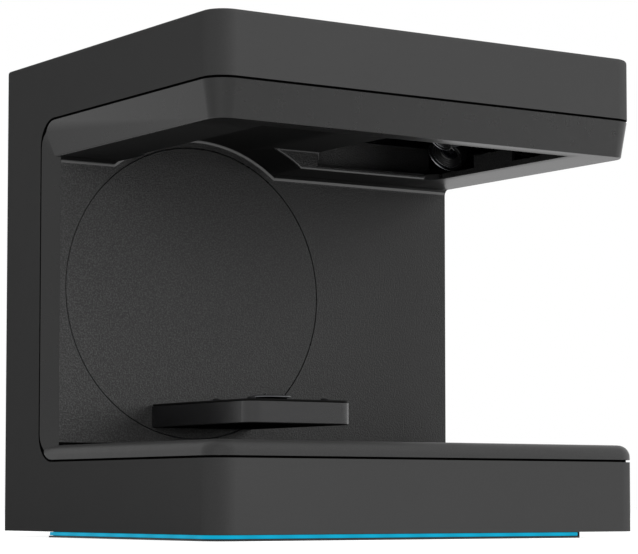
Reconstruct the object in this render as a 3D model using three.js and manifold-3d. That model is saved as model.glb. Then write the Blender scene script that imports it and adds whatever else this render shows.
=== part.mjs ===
import * as THREE from 'three';
import { mergeVertices } from 'three/addons/utils/BufferGeometryUtils.js';
import Module from 'manifold-3d';

// Desktop 3D scanner with an open scan space, a swinging arm and a turntable.
// Millimetres, +Z up, front towards -Y, origin at the middle of the footprint on the desk.

// Outer shell
const caseWidth = 420;
const caseDepth = 346;
const caseHeight = 405;
const deskClearance = 5; // under the shell's lower edge
const shellThickness = 3;
const frontCornerRadius = 20;
const rearCornerRadius = 4;
const topEdgeRadius = 3;

// Clearances
const fitGap = 0.3; // between pieces that sit on each other
const runningGap = 0.4; // round what turns
const overrun = 6; // how far a cut runs past a surface

// Mouth of the shell, and the seam between the shell and its liner
const topBandHeight = 51.6;
const baseBandHeight = 58.05;
const columnDepth = 83.6; // from the wall of the scan space to the back of the case
const cheekDepth = 21.75; // front to back width of the slanting cheek beside the wall
const mouthCornerRadius = 23.2;
const seamGap = 1.9;
const tongueThickness = 2.5;
const tongueReach = 7; // how far the liner's tongue runs behind the shell

// Liner of the scan space
const linerThickness = 3;
const bevelHeight = 32.3;
const bevelInset = 5.5;
const bevelEdgeRadius = 1.4;
const cheekInset = 7.8;
const floorRise = 14.25; // from the lower seam to the floor of the scan space
const floorEdgeRadius = 10;

// Recess in the ceiling, and the window that the optics look through
const recessSideMargin = 57;
const recessFrontMargin = 23;
const rearRimWidth = 50.4;
const recessHeight = 15.9;
const recessCornerRadius = 12;
const windowWidth = 126;
const windowFrontMargin = 37; // from the front of the recess
const windowPocket = 13; // how far the window runs back over the rear rim
const windowSill = 4.9; // left of the rear rim and of the recess side under the window
const bridgeShares = [0.233, 0.565]; // where the upright piece between the bays begins and ends along the window

// Swing axis
const swingFromLeft = 140.6;
const crownRise = 24.7; // of the curved ceiling cut above the ceiling
const sweepFloorGap = -0.5; // of the sweep circle above the floor
const discInset = 7.7; // from the sweep circle to the edge of the disc
const discSeam = 0.85;
const discThickness = 4;
const sweepFrontGap = 10; // the curved cut's run past the arm's front end

// Arm
const armReach = 157.1;
const armWidth = 102.9;
const armHeight = 20;
const armOffset = 8.35; // of the arm's middle from the swing axis, to the right
const armClearance = 16.7; // from the sweep circle to the underside of the arm
const armCornerRadius = 12;
const armWall = 2.5;
const coverThickness = 1.7;
const coverInset = 0.5;
const padRadius = 3.5;
const padHeight = 2.4;
const padSideways = 36;
const padLengthways = 27;

// Turntable and its drive in the arm
const tableOffset = 6.4; // of the turntable's axis from the swing axis, to the right
const tableFromFront = 45;
const tableRadius = 17;
const tableThickness = 3.6;
const tableLift = 1;
const tableEdge = 0.8;
const spindleRadius = 4;
const pinRadius = 1.25;
const pinHeight = 1.4;
const pinCircleRadius = 10;
const tablePulleyRadius = 15;
const tableDriveRatio = 2.5;
const tableBeltWidth = 3.4;
const tableBeltThickness = 1.2;
const tableMotorDistance = 68;
const tableMotorSide = 35;
const tableMotorHeight = 8.4;
const tableMotorShaftRadius = 2;
const bushRadius = 9;

// Swing drive
const chassisStandoff = 37.6; // from the wall to the chassis plate
const chassisThickness = 3;
const chassisSideGap = 12;
const chassisTopGap = 15;
const hubRadius = 34;
const hubThickness = 4.4;
const shaftRadius = 10;
const bearingRadius = 24;
const bearingFlangeRadius = 33;
const bearingFlangeThickness = 6;
const swingPulleyRadius = 40;
const swingDriveRatio = 5;
const swingBeltWidth = 9;
const swingBeltThickness = 1.6;
const pulleyFlange = 1.5;
const flangeRise = 2.4;
const flagRise = 6;
const flagSlotWidth = 5;
const swingMotorInset = 21.8; // of the motor's axis from the edge of the disc
const swingMotorSide = 42;
const swingMotorLength = 31;
const swingMotorShaftRadius = 2.5;
const swingMotorBoss = 11;
const pulleyStandoff = 3;
const sensorWidth = 12;
const sensorHeight = 13;
const sensorWall = 3;
const sensorSlot = 3.5;

// Optical head
const pitch = Math.PI / 4; // all optics look down at this angle
const headFromRight = 54;
const headDrop = 60; // under the roof
const headFromWall = 114.4;
const cameraSpacing = 102;
const lensRadius = 18;
const lensLength = 24;
const lensRingLength = 8;
const lensStep = 3;
const lensFaceDepth = 3;
const glassRadius = 12;
const glassBulge = 2;
const cameraSide = 32;
const cameraLength = 22;
const benchThickness = 4;
const benchOverhang = 10;
const benchFlangeWidth = 26;
const benchFlangeHeight = 5.7;
const projectorWidth = 44;
const projectorDepth = 28;
const projectorLength = 32;
const projectorLensRadius = 12;
const projectorLensLength = 20;
const projectorGlassRadius = 8.5;
const projectorFront = 28; // its lens front ahead of the cameras' lens fronts

// Base
const basePlateThickness = 3;
const footRadius = 14;
const footMargin = 46;
const footChamfer = 1;
const stripLeftLength = 263.5;
const stripFrontLength = 352.3;
const stripInset = 0.4;
const stripThickness = 3;
const stripHeight = 2.8;
const stripBoardThickness = 1;
const channelBackThickness = 4;
const channelLipThickness = 1;
const channelFloorGap = 0.6;
const channelOverhang = 2.2;

// Rear panel and what is fixed to it
const panelRecess = 5;
const panelThickness = 2;
const panelScrewRadius = 3.2;
const panelScrewHeight = 1.8;
const panelScrewMargin = 9;
const socketHeight = 34; // of the row of sockets above the desk
const flangeThickness = 1.5;
const flangeOverlap = 2.5;
const inletFromLeft = 60;
const inletOpening = [24, 16.5];
const inletBody = [27.5, 20];
const inletDepth = 17;
const inletBackWall = 4;
const inletPinSize = [2, 4, 11];
const inletPinSpacing = 7;
const switchFromLeft = 98;
const switchOpening = [19, 13];
const switchBody = [21.5, 15.5];
const switchDepth = 14;
const rockerPivotDepth = 4; // of the pivot under the face of the bezel
const rockerPivotRadius = 1.5;
const rockerAngle = 9 * Math.PI / 180;
const dataFromRight = 92;
const dataOpening = [8.5, 7.8];
const dataBody = [12, 10.8];
const dataDepth = 15;
const dataBackWall = 3;
const dataTongue = [5.6, 3.2];

// Fan
const fanFromRight = 78;
const fanFromTop = 113;
const fanSide = 60;
const fanDepth = 15;
const fanBoreRadius = 28.5;
const fanHubRadius = 12;
const fanBladeCount = 7;
const fanBladeThickness = 1.6;
const fanBladeTilt = 0.7;
const fanTipGap = 1.5;
const fanStrutWidth = 3.5;
const fanStrutDepth = 3;
const fanCornerRadius = 4;
const ventSlotWidth = 3.4;
const ventPitch = 7;

// Vents low in the rear panel
const lowVentShift = -20; // from the middle of the case
const lowVentCount = 9;
const lowVentLength = 34;

// Electronics
const supplySize = [116, 86, 37];
const supplyFromLeft = 98;
const supplyFromChassis = 30;
const supplySlotCount = 8;
const supplySlotShare = 0.6;
const boardSize = [118, 100];
const boardFromRight = 92;
const boardBottom = 46;
const boardThickness = 1.6;
const boardStandoff = 5;
const boardStandoffRadius = 3;
const boardEdgeMargin = 6;
const chipHeight = 3;

const roundSides = 32;
const smallSides = 20;
const discSides = 80;
const cornerSteps = 7;

// Places worked out from the sizes above
const left = -caseWidth / 2;
const right = caseWidth / 2;
const front = -caseDepth / 2;
const rear = caseDepth / 2;
const roof = caseHeight - shellThickness;
const mouthTop = caseHeight - topBandHeight;
const mouthBottom = deskClearance + baseBandHeight;
const wallY = rear - columnDepth;
const mouthBack = wallY + cheekDepth;
const ceiling = mouthTop - bevelHeight;
const floorTop = mouthBottom + floorRise;
const recessTop = ceiling + recessHeight;
const recessX = [left + recessSideMargin, right - recessSideMargin];
const recessY = [front + recessFrontMargin, wallY - rearRimWidth];
const sweepRadius = (ceiling + crownRise - floorTop - sweepFloorGap) / 2;
const swingX = left + swingFromLeft;
const swingZ = ceiling + crownRise - sweepRadius;
const discRadius = sweepRadius - discInset;
const armBottom = swingZ - sweepRadius + armClearance;
const armTop = armBottom + armHeight;
const armX = [swingX + armOffset - armWidth / 2, swingX + armOffset + armWidth / 2];
const armFront = wallY - armReach;
const tableX = swingX + tableOffset;
const tableY = armFront + tableFromFront;
const basePlateTop = deskClearance + basePlateThickness;
const panelY = [rear - panelRecess - panelThickness, rear - panelRecess];
const chassisY = [wallY + chassisStandoff, wallY + chassisStandoff + chassisThickness];
const headX = right - headFromRight;
const headY = wallY - headFromWall;
const headZ = roof - headDrop;
const inletX = left + inletFromLeft;
const switchX = left + switchFromLeft;
const dataX = right - dataFromRight;
const fanX = right - fanFromRight;
const fanHeight = caseHeight - fanFromTop;
const supplyX = left + supplyFromLeft;
const boardX = right - boardFromRight;
const swingMotorDistance = discRadius - swingMotorInset;
const tablePulleyFlange = pulleyFlange / 2;

// Solids

const wasm = await Module();
wasm.setup();

function toSolid(piece) {
  if (!piece.isBufferGeometry) return piece;
  const plain = piece.clone();
  plain.deleteAttribute('normal');
  plain.deleteAttribute('uv');
  const merged = mergeVertices(plain);
  const corners = merged.index.array;
  const kept = [];
  for (let i = 0; i < corners.length; i += 3) {
    const [a, b, c] = [corners[i], corners[i + 1], corners[i + 2]];
    if (a !== b && b !== c && c !== a) kept.push(a, b, c);
  }
  const vertProperties = new Float32Array(merged.attributes.position.array);
  const triVerts = new Uint32Array(kept);
  return new wasm.Manifold(new wasm.Mesh({ numProp: 3, vertProperties, triVerts }));
}

function toGeometry(piece) {
  const { vertProperties, triVerts } = toSolid(piece).getMesh();
  const geometry = new THREE.BufferGeometry();
  geometry.setAttribute('position', new THREE.BufferAttribute(vertProperties, 3));
  geometry.setIndex(new THREE.BufferAttribute(triVerts, 1));
  geometry.computeVertexNormals();
  return geometry;
}

const join = (...pieces) => pieces.map(toSolid).reduce((whole, piece) => whole.add(piece));
const cut = (piece, ...tools) => (
  tools.map(toSolid).reduce((rest, tool) => rest.subtract(tool), toSolid(piece))
);
const common = (piece, other) => toSolid(piece).intersect(toSolid(other));

// A box between a low and a high value on each axis
function box(x, y, z) {
  const size = [x, y, z].map(([low, high]) => high - low);
  const middle = [x, y, z].map(([low, high]) => (low + high) / 2);
  return new THREE.BoxGeometry(...size).translate(...middle);
}

const around = (middle, width) => [middle - width / 2, middle + width / 2];

// A profile of [radius, height] points turned about Z
function turned(profile, sides = roundSides) {
  const points = profile.map(([radius, height]) => new THREE.Vector2(radius, height));
  const closed = profile.every(([radius]) => radius > 0);
  if (THREE.ShapeUtils.isClockWise(points)) points.reverse();
  if (closed) points.push(points[0].clone());
  return new THREE.LatheGeometry(points, sides).rotateX(Math.PI / 2);
}

function rod(radius, z, sides = roundSides) {
  return turned([[0, z[0]], [radius, z[0]], [radius, z[1]], [0, z[1]]], sides);
}

// Turns a piece that was made along Z so that it runs along +Y
const alongY = (geometry) => geometry.rotateX(-Math.PI / 2);

function shapeOf(points, holes = []) {
  const shape = new THREE.Shape(points.map(([x, y]) => new THREE.Vector2(x, y)));
  shape.holes = holes.map((hole) => new THREE.Path(hole.map(([x, y]) => new THREE.Vector2(x, y))));
  return shape;
}

function extruded(points, z, holes = []) {
  const options = { depth: z[1] - z[0], bevelEnabled: false };
  return new THREE.ExtrudeGeometry(shapeOf(points, holes), options).translate(0, 0, z[0]);
}

// Outline in X and Z, run along Y
function extrudedY(points, y, holes = []) {
  return extruded(points, [0, y[1] - y[0]], holes).rotateX(Math.PI / 2).translate(0, y[1], 0);
}

// Outline in Y and Z, run along X
function extrudedX(points, x) {
  return extruded(points, [0, x[1] - x[0]]).rotateX(Math.PI / 2).rotateZ(Math.PI / 2).translate(x[0], 0, 0);
}

function arc(centre, radius, from, to, steps = cornerSteps) {
  const points = [];
  for (let i = 0; i <= steps; i++) {
    const angle = from + (to - from) * i / steps;
    points.push([centre[0] + radius * Math.cos(angle), centre[1] + radius * Math.sin(angle)]);
  }
  return points;
}

const circle = (centre, radius, steps = roundSides) => arc(centre, radius, 0, 2 * Math.PI, steps).slice(1);

// A rectangle with its own radius at each corner: high left, low left, low right, high right
function roundedRectangle(x, y, radii) {
  const corners = [
    [x[0], y[1], 1, -1, 1],
    [x[0], y[0], 1, 1, 2],
    [x[1], y[0], -1, 1, 3],
    [x[1], y[1], -1, -1, 4],
  ];
  return corners.flatMap(([cornerX, cornerY, inX, inY, quarter], i) => {
    const radius = radii[i];
    if (radius <= 0) return [[cornerX, cornerY]];
    const centre = [cornerX + inX * radius, cornerY + inY * radius];
    return arc(centre, radius, quarter * Math.PI / 2, (quarter + 1) * Math.PI / 2);
  });
}

// A solid skinned over outlines that have the same number of points
function loft(sections) {
  const count = sections[0].points.length;
  const positions = sections.flatMap(({ points, z }) => points.flatMap(([x, y]) => [x, y, z]));
  const indices = [];
  for (let s = 0; s < sections.length - 1; s++) {
    for (let i = 0; i < count; i++) {
      const a = s * count + i;
      const b = s * count + (i + 1) % count;
      indices.push(a, b, b + count, a, b + count, a + count);
    }
  }
  const last = (sections.length - 1) * count;
  const outline = sections[0].points.map(([x, y]) => new THREE.Vector2(x, y));
  for (const [a, b, c] of THREE.ShapeUtils.triangulateShape(outline, [])) {
    indices.push(c, b, a, last + a, last + b, last + c);
  }
  const geometry = new THREE.BufferGeometry();
  geometry.setAttribute('position', new THREE.Float32BufferAttribute(positions, 3));
  geometry.setIndex(indices);
  return geometry;
}

// Outline of a belt round two pulleys, the first at the origin and the second at +X
function beltOutline(firstRadius, secondRadius, distance) {
  const lean = Math.acos((firstRadius - secondRadius) / distance);
  const big = arc([0, 0], firstRadius, lean, 2 * Math.PI - lean, roundSides / 2);
  const small = arc([distance, 0], secondRadius, -lean, lean, roundSides / 4);
  return [...big, ...small];
}

// Materials

const finish = (color, roughness, metalness = 0) => (
  new THREE.MeshStandardMaterial({ color, roughness, metalness })
);
const shellPlastic = finish('#4a4b4d', 0.55);
const linerPlastic = finish('#434446', 0.7);
const discPlastic = finish('#414244', 0.7);
const armPaint = finish('#3c3d3f', 0.3, 0.3);
const blackPlastic = finish('#141415', 0.5);
const rubber = finish('#1b1b1c', 0.9);
const cyanDiffuser = finish('#11aace', 0.4);
const steel = finish('#b9bcc0', 0.3, 1);
const sheetSteel = finish('#8d9094', 0.45, 0.8);
const aluminium = finish('#a9acb0', 0.35, 1);
const lensBlack = finish('#0d0d0e', 0.35, 0.3);
const lensGlass = finish('#20283a', 0.05);
const boardGreen = finish('#14532f', 0.5);
const beltRubber = finish('#222222', 0.8);
const brass = finish('#b08d45', 0.35, 1);

const group = new THREE.Group();

function add(name, piece, material, parent = group) {
  const mesh = new THREE.Mesh(toGeometry(piece), material);
  mesh.name = name;
  parent.add(mesh);
  return mesh;
}

// Outer shell: one skin over the top box, the rear column and the base

function planOutline(inset, back) {
  const radius = frontCornerRadius - inset;
  return roundedRectangle([left + inset, right - inset], [front + inset, back], [0, radius, radius, 0]);
}

function outerShell() {
  const footprint = (inset) => {
    const [rearRadius, frontRadius] = [rearCornerRadius - inset, frontCornerRadius - inset];
    const radii = [rearRadius, frontRadius, frontRadius, rearRadius];
    return roundedRectangle([left + inset, right - inset], [front + inset, rear - inset], radii);
  };
  const crown = arc([topEdgeRadius, caseHeight - topEdgeRadius], topEdgeRadius, Math.PI, Math.PI / 2);
  const sections = [[0, deskClearance], ...crown].map(([inset, z]) => ({ points: footprint(inset), z }));
  const inside = extruded(planOutline(shellThickness, rear + overrun), [deskClearance - overrun, roof]);
  const mouthOutline = roundedRectangle(
    [front - overrun, mouthBack],
    [mouthBottom, mouthTop],
    [0, 0, mouthCornerRadius, mouthCornerRadius],
  );
  const mouth = extrudedX(mouthOutline, [left - overrun, right + overrun]);
  return cut(loft(sections), inside, mouth);
}

add('outer_shell', outerShell(), shellPlastic);

// Inner liner: bevel, ceiling with its recess, wall, cheeks and floor in one moulding

const seamTop = mouthTop - seamGap;
const seamBottom = mouthBottom + seamGap;
const seamBack = mouthBack - seamGap;
const insetAt = (z) => bevelInset * (mouthTop - z) / bevelHeight;

function linerTop() {
  const startZ = ceiling + bevelEdgeRadius;
  const startInset = insetAt(startZ);
  const edge = arc([startInset + bevelEdgeRadius, startZ], bevelEdgeRadius, Math.PI * 1.5, Math.PI);
  const profile = [...edge, [insetAt(seamTop), seamTop]];
  const outer = loft(profile.map(([inset, z]) => ({ points: planOutline(inset, seamBack), z })));
  const hollow = loft([
    { points: planOutline(bevelInset + linerThickness, wallY), z: ceiling + linerThickness },
    { points: planOutline(startInset + linerThickness, wallY), z: startZ + linerThickness },
    { points: planOutline(linerThickness, wallY), z: mouthTop + overrun },
  ]);
  const behindWall = box(
    [left + cheekInset + linerThickness, right - cheekInset - linerThickness],
    [wallY - overrun, seamBack + overrun],
    [ceiling - overrun, mouthTop + overrun],
  );
  return cut(outer, hollow, behindWall);
}

function linerRecess(grow) {
  const radii = [grow, grow, grow, recessCornerRadius + grow];
  const x = [recessX[0] - grow, recessX[1] + grow];
  const y = [recessY[0] - grow, recessY[1] + grow];
  return roundedRectangle(x, y, radii);
}

function linerFloor() {
  const edge = arc([floorEdgeRadius, floorTop - floorEdgeRadius], floorEdgeRadius, Math.PI, Math.PI / 2);
  const profile = [[0, seamBottom], ...edge];
  const outer = loft(profile.map(([inset, z]) => ({ points: planOutline(inset, seamBack), z })));
  const edgeInside = arc(
    [floorEdgeRadius, floorTop - floorEdgeRadius],
    floorEdgeRadius - linerThickness,
    Math.PI,
    Math.PI / 2,
  );
  const hollow = loft([[linerThickness, mouthBottom - overrun], ...edgeInside].map(([inset, z]) => (
    { points: planOutline(inset, seamBack + overrun), z }
  )));
  const behindWall = box(
    [left + cheekInset + linerThickness, right - cheekInset - linerThickness],
    [wallY + linerThickness, seamBack + overrun],
    [mouthBottom - overrun, floorTop + overrun],
  );
  return cut(outer, hollow, behindWall);
}

// Slanting cheeks between the wall and the outer shell
function linerCheek(side) {
  const outline = [
    [side * (right - cheekInset), wallY],
    [side * right, seamBack],
    [side * (right - linerThickness), seamBack],
    [side * (right - cheekInset - linerThickness), wallY + linerThickness],
    [side * (right - cheekInset - linerThickness), wallY],
  ];
  return extruded(side > 0 ? outline : outline.reverse(), [seamBottom, seamTop]);
}

// A tongue inside the shell's edge, which the liner is screwed to
function linerTongue() {
  const outerInset = shellThickness + fitGap;
  const innerInset = outerInset + tongueThickness;
  const ring = (z) => cut(
    extruded(planOutline(outerInset, seamBack), z),
    extruded(planOutline(innerInset, seamBack + overrun), [z[0] - overrun, z[1] + overrun]),
  );
  const upper = ring([mouthTop - bevelHeight / 2, mouthTop + tongueReach]);
  const lower = ring([mouthBottom - tongueReach, floorTop - floorEdgeRadius]);
  const sides = [-1, 1].map((side) => {
    const x = [side * (right - innerInset), side * (right - outerInset)].sort((a, b) => a - b);
    const y = [seamBack - tongueReach, mouthBack + tongueReach];
    return box(x, y, [mouthBottom - tongueReach, mouthTop + tongueReach]);
  });
  return join(upper, lower, ...sides);
}

function innerLiner() {
  const wallX = [left + cheekInset, right - cheekInset];
  const wallBack = wallY + linerThickness;
  const arcFront = armFront - sweepFrontGap;
  const aboveCeiling = box([left, right], [front, wallBack], [ceiling, mouthTop + overrun]);
  const onAxis = (radius, y) => alongY(rod(radius, y, discSides)).translate(swingX, 0, swingZ);
  const wall = join(
    box(wallX, [wallY, wallBack], [floorTop - linerThickness, recessTop + linerThickness]),
    common(onAxis(sweepRadius + linerThickness, [wallY, wallBack]), aboveCeiling),
  );
  const vault = onAxis(sweepRadius + linerThickness, [arcFront - linerThickness, wallBack]);
  const sweep = onAxis(sweepRadius, [arcFront, wallY]);
  const disc = onAxis(discRadius + discSeam, [wallY - overrun, wallBack + overrun]);
  const recessBody = extruded(linerRecess(linerThickness), [ceiling, recessTop + linerThickness]);
  const windowX = [recessX[1] - windowWidth, recessX[1]];
  const windowY = [recessY[0] + windowFrontMargin, recessY[1] + windowPocket];
  const windowZ = [ceiling + windowSill, mouthTop];
  const windowWall = box(
    [windowX[0] - linerThickness, windowX[1] + linerThickness],
    [windowY[0] - linerThickness, windowY[1] + linerThickness],
    [ceiling, mouthTop],
  );
  const window = box(windowX, windowY, windowZ);
  const bridgeY = bridgeShares.map((share) => windowY[0] + share * (windowY[1] - windowY[0]));
  const bays = [
    [windowY[0], bridgeY[0]],
    [bridgeY[1], windowY[1]],
  ].map((y) => box([windowX[1] - overrun, windowX[1] + linerThickness + overrun], y, windowZ));
  const body = join(linerTop(), recessBody, common(vault, aboveCeiling), wall, linerFloor(), linerCheek(-1),
    linerCheek(1), windowWall);
  const recess = extruded(linerRecess(0), [ceiling - overrun, recessTop]);
  const aboveBridge = box(
    [windowX[1] - overrun, windowX[1] + linerThickness + overrun],
    windowY,
    [recessTop, mouthTop],
  );
  const trimmed = cut(body, recess, common(sweep, aboveCeiling), disc, window, aboveBridge, ...bays);
  const mouthOutline = roundedRectangle(
    [front - overrun, seamBack],
    [seamBottom, seamTop],
    [0, 0, mouthCornerRadius - seamGap, mouthCornerRadius - seamGap],
  );
  const mouth = extrudedX(mouthOutline, [left - overrun, right + overrun]);
  return join(common(trimmed, mouth), linerTongue());
}

add('inner_liner', innerLiner(), linerPlastic);

// Base plate, feet and the light strip along the front left edge

function basePlate() {
  const inset = shellThickness + fitGap;
  return extruded(planOutline(inset, panelY[0] - fitGap), [deskClearance, basePlateTop]);
}

add('base_plate', basePlate(), sheetSteel);

const footPlaces = [[-1, -1], [1, -1], [-1, 1], [1, 1]];
footPlaces.forEach(([sideX, sideY], i) => {
  const top = deskClearance - fitGap;
  const edge = [[footRadius - footChamfer, 0], [footRadius, footChamfer]];
  const profile = [[0, 0], ...edge, [footRadius, top], [0, top]];
  const foot = add(`foot_${i + 1}`, turned(profile, smallSides), rubber);
  foot.position.set(sideX * (right - footMargin), sideY * (rear - footMargin), 0);
});

// A band that follows the front left corner of the case between two insets
function edgeBand(outerInset, innerInset, z, overhang = 0) {
  const y = front + stripLeftLength + overhang;
  const x = left + stripFrontLength + overhang;
  const centre = [left + frontCornerRadius, front + frontCornerRadius];
  const bend = (inset) => arc(centre, frontCornerRadius - inset, Math.PI, Math.PI * 1.5);
  const outline = [
    [left + outerInset, y],
    ...bend(outerInset),
    [x, front + outerInset],
    [x, front + innerInset],
    ...bend(innerInset).reverse(),
    [left + innerInset, y],
  ];
  return extruded(outline, z);
}

const stripTop = deskClearance - fitGap;
const stripZ = [stripTop - stripHeight, stripTop];
const boardInset = stripInset + stripThickness + fitGap;
const channelBackInset = boardInset + stripBoardThickness + fitGap;
const channelInset = [stripInset + fitGap, channelBackInset + channelBackThickness];
const channelTop = deskClearance - fitGap;
add('light_strip', edgeBand(stripInset, stripInset + stripThickness, stripZ), cyanDiffuser);
add('strip_light_board', edgeBand(boardInset, boardInset + stripBoardThickness, stripZ), boardGreen);
add('strip_channel', join(
  edgeBand(channelBackInset, channelInset[1], [channelFloorGap, channelTop], channelOverhang),
  edgeBand(...channelInset, [channelFloorGap, channelFloorGap + channelLipThickness], channelOverhang),
), blackPlastic);

// Rear panel

function ventSlot(x, z) {
  return box(x, [panelY[0] - overrun, panelY[1] + overrun], z);
}

function fanGrille() {
  const rows = Math.floor((fanBoreRadius - ventSlotWidth) / ventPitch);
  const slots = [];
  for (let i = -rows; i <= rows; i++) {
    const z = fanHeight + i * ventPitch;
    const half = Math.sqrt((fanBoreRadius - ventSlotWidth / 2) ** 2 - (i * ventPitch) ** 2);
    slots.push(ventSlot([fanX - half, fanX + half], around(z, ventSlotWidth)));
  }
  return slots;
}

function lowVents() {
  const slots = [];
  for (let i = 0; i < lowVentCount; i++) {
    const x = lowVentShift + (i - (lowVentCount - 1) / 2) * ventPitch;
    slots.push(ventSlot(around(x, ventSlotWidth), around(socketHeight, lowVentLength)));
  }
  return slots;
}

function rearPanel() {
  const plate = box(
    [left + shellThickness + fitGap, right - shellThickness - fitGap],
    panelY,
    [deskClearance, roof - fitGap],
  );
  const hole = (x, [width, height]) => (
    ventSlot(around(x, width + 2 * fitGap), around(socketHeight, height + 2 * fitGap))
  );
  return cut(plate, hole(inletX, inletBody), hole(switchX, switchBody), hole(dataX, dataBody), ...fanGrille(),
    ...lowVents());
}

add('rear_panel', rearPanel(), sheetSteel);

const screwSpots = [[-1, 0], [1, 0], [-1, 1], [1, 1]];
screwSpots.forEach(([side, high], i) => {
  const x = side * (right - shellThickness - panelScrewMargin);
  const z = high ? roof - panelScrewMargin : deskClearance + panelScrewMargin;
  const headY = [panelY[1] + fitGap, panelY[1] + fitGap + panelScrewHeight];
  const head = alongY(rod(panelScrewRadius, headY, smallSides));
  add(`panel_screw_${i + 1}`, head.translate(x, 0, z), steel);
});

// A socket housing: flange outside the panel, body through it, cavity open to the rear
function socket(x, body, opening, depth, backWall) {
  const flangeY = [panelY[1] + fitGap, panelY[1] + fitGap + flangeThickness];
  const flange = box(
    around(x, body[0] + 2 * flangeOverlap),
    flangeY,
    around(socketHeight, body[1] + 2 * flangeOverlap),
  );
  const shaftY = [flangeY[1] - depth - backWall, flangeY[1]];
  const shaft = box(around(x, body[0]), shaftY, around(socketHeight, body[1]));
  const cavityY = [flangeY[1] - depth, flangeY[1] + overrun];
  const cavity = box(around(x, opening[0]), cavityY, around(socketHeight, opening[1]));
  return cut(join(flange, shaft), cavity);
}

const outsideY = panelY[1] + fitGap + flangeThickness;

function powerInlet() {
  const [bladeWidth, bladeHeight, bladeLength] = inletPinSize;
  const floorY = outsideY - inletDepth;
  const pins = [-1, 0, 1].map((place) => box(
    around(inletX + place * inletPinSpacing, bladeWidth),
    [floorY - inletBackWall / 2, floorY + bladeLength],
    around(socketHeight + (place === 0 ? 1 : -1) * bladeWidth, bladeHeight),
  ));
  return join(socket(inletX, inletBody, inletOpening, inletDepth, inletBackWall), ...pins);
}

function dataSocket() {
  const floorY = outsideY - dataDepth;
  const tongue = box(
    around(dataX, dataTongue[0]),
    [floorY - dataBackWall / 2, outsideY - dataDepth / 3],
    around(socketHeight, dataTongue[1]),
  );
  return join(socket(dataX, dataBody, dataOpening, dataDepth, dataBackWall), tongue);
}

add('power_inlet', powerInlet(), blackPlastic);
add('data_socket', dataSocket(), sheetSteel);

// Power switch: a bezel with two pivot stubs and a rocker that tips between them

const rockerPivotY = outsideY - rockerPivotDepth;
const rockerLow = rockerPivotRadius * 2;
const rockerSwing = (rockerPivotDepth + rockerLow) * Math.sin(rockerAngle) / 2;
const rockerHalf = switchOpening[0] / 2 - runningGap - rockerSwing;

function switchBezel() {
  const stubs = [-1, 1].map((side) => {
    const ends = [side * (switchOpening[1] / 2 - rockerPivotRadius), side * switchBody[1] / 2];
    const z = ends.map((end) => socketHeight + end).sort((a, b) => a - b);
    return rod(rockerPivotRadius, z, smallSides).translate(switchX, rockerPivotY, 0);
  });
  return join(socket(switchX, switchBody, switchOpening, switchDepth, inletBackWall), ...stubs);
}

// The rocker's face is a shallow valley. It rests tipped, so that one half lies level and the other stands up
function switchRocker() {
  const rise = rockerHalf * Math.tan(rockerAngle);
  const outline = [
    [-rockerHalf, -rockerLow],
    [rockerHalf, -rockerLow],
    [rockerHalf, rockerPivotDepth + rise],
    [0, rockerPivotDepth],
    [-rockerHalf, rockerPivotDepth + rise],
  ];
  const width = switchOpening[1] - 2 * runningGap;
  const body = extruded(outline, around(0, width)).rotateZ(rockerAngle);
  const bore = rod(rockerPivotRadius + runningGap, around(0, switchBody[1]), smallSides);
  const web = width - 2 * rockerPivotRadius - runningGap;
  const bores = cut(bore, box(around(0, switchBody[0]), around(0, switchBody[0]), around(0, web)));
  return toGeometry(cut(body, bores)).translate(switchX, rockerPivotY, socketHeight);
}

add('switch_bezel', switchBezel(), blackPlastic);
add('switch_rocker', switchRocker(), blackPlastic);

// Cooling fan behind its grille

const fanY = [panelY[0] - fitGap - fanDepth, panelY[0] - fitGap];

function fanFrame() {
  const corners = Array(4).fill(fanCornerRadius);
  const outline = roundedRectangle(around(0, fanSide), around(0, fanSide), corners);
  const frame = extrudedY(outline, fanY, [circle([0, 0], fanBoreRadius).reverse()]);
  const strutY = [fanY[0], fanY[0] + fanStrutDepth];
  const boss = alongY(rod(fanHubRadius, strutY, smallSides));
  const reach = fanBoreRadius + fanCornerRadius / 2;
  const struts = [
    box([-reach, reach], strutY, around(0, fanStrutWidth)),
    box(around(0, fanStrutWidth), strutY, [-reach, reach]),
  ];
  return toGeometry(join(frame, boss, ...struts)).translate(fanX, 0, fanHeight);
}

function fanRotor() {
  const rotorY = [fanY[0] + fanStrutDepth + runningGap, fanY[1] - fanTipGap];
  const depth = rotorY[1] - rotorY[0];
  const hub = alongY(rod(fanHubRadius, rotorY, smallSides));
  const bladeX = [fanHubRadius / 2, fanBoreRadius - fanTipGap];
  const blades = Array.from({ length: fanBladeCount }, (_, i) => {
    const blade = box(bladeX, around(0, depth - fanBladeThickness), around(0, fanBladeThickness));
    return blade
      .rotateX(fanBladeTilt)
      .translate(0, (rotorY[0] + rotorY[1]) / 2, 0)
      .rotateY(2 * Math.PI * i / fanBladeCount);
  });
  return toGeometry(join(hub, ...blades)).translate(fanX, 0, fanHeight);
}

add('fan_frame', fanFrame(), blackPlastic);
add('fan_rotor', fanRotor(), blackPlastic);

// Chassis plate, which carries the swing bearing, the swing motor and the main board

const swingMotorX = swingX + swingMotorDistance;

function chassisPlate() {
  const x = [left + shellThickness + chassisSideGap, right - shellThickness - chassisSideGap];
  const z = [basePlateTop + fitGap, roof - chassisTopGap];
  const holes = [
    circle([swingX, swingZ], shaftRadius + runningGap * 2),
    circle([swingMotorX, swingZ], swingMotorBoss + runningGap),
  ];
  const outline = roundedRectangle(x, z, Array(4).fill(frontCornerRadius));
  return extrudedY(outline, chassisY, holes.map((hole) => hole.reverse()));
}

add('chassis_plate', chassisPlate(), sheetSteel);

// Pieces on the swing axis, made at the axis and then moved to it
const onSwingAxis = (piece, x = swingX) => toGeometry(piece).translate(x, 0, swingZ);

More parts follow.
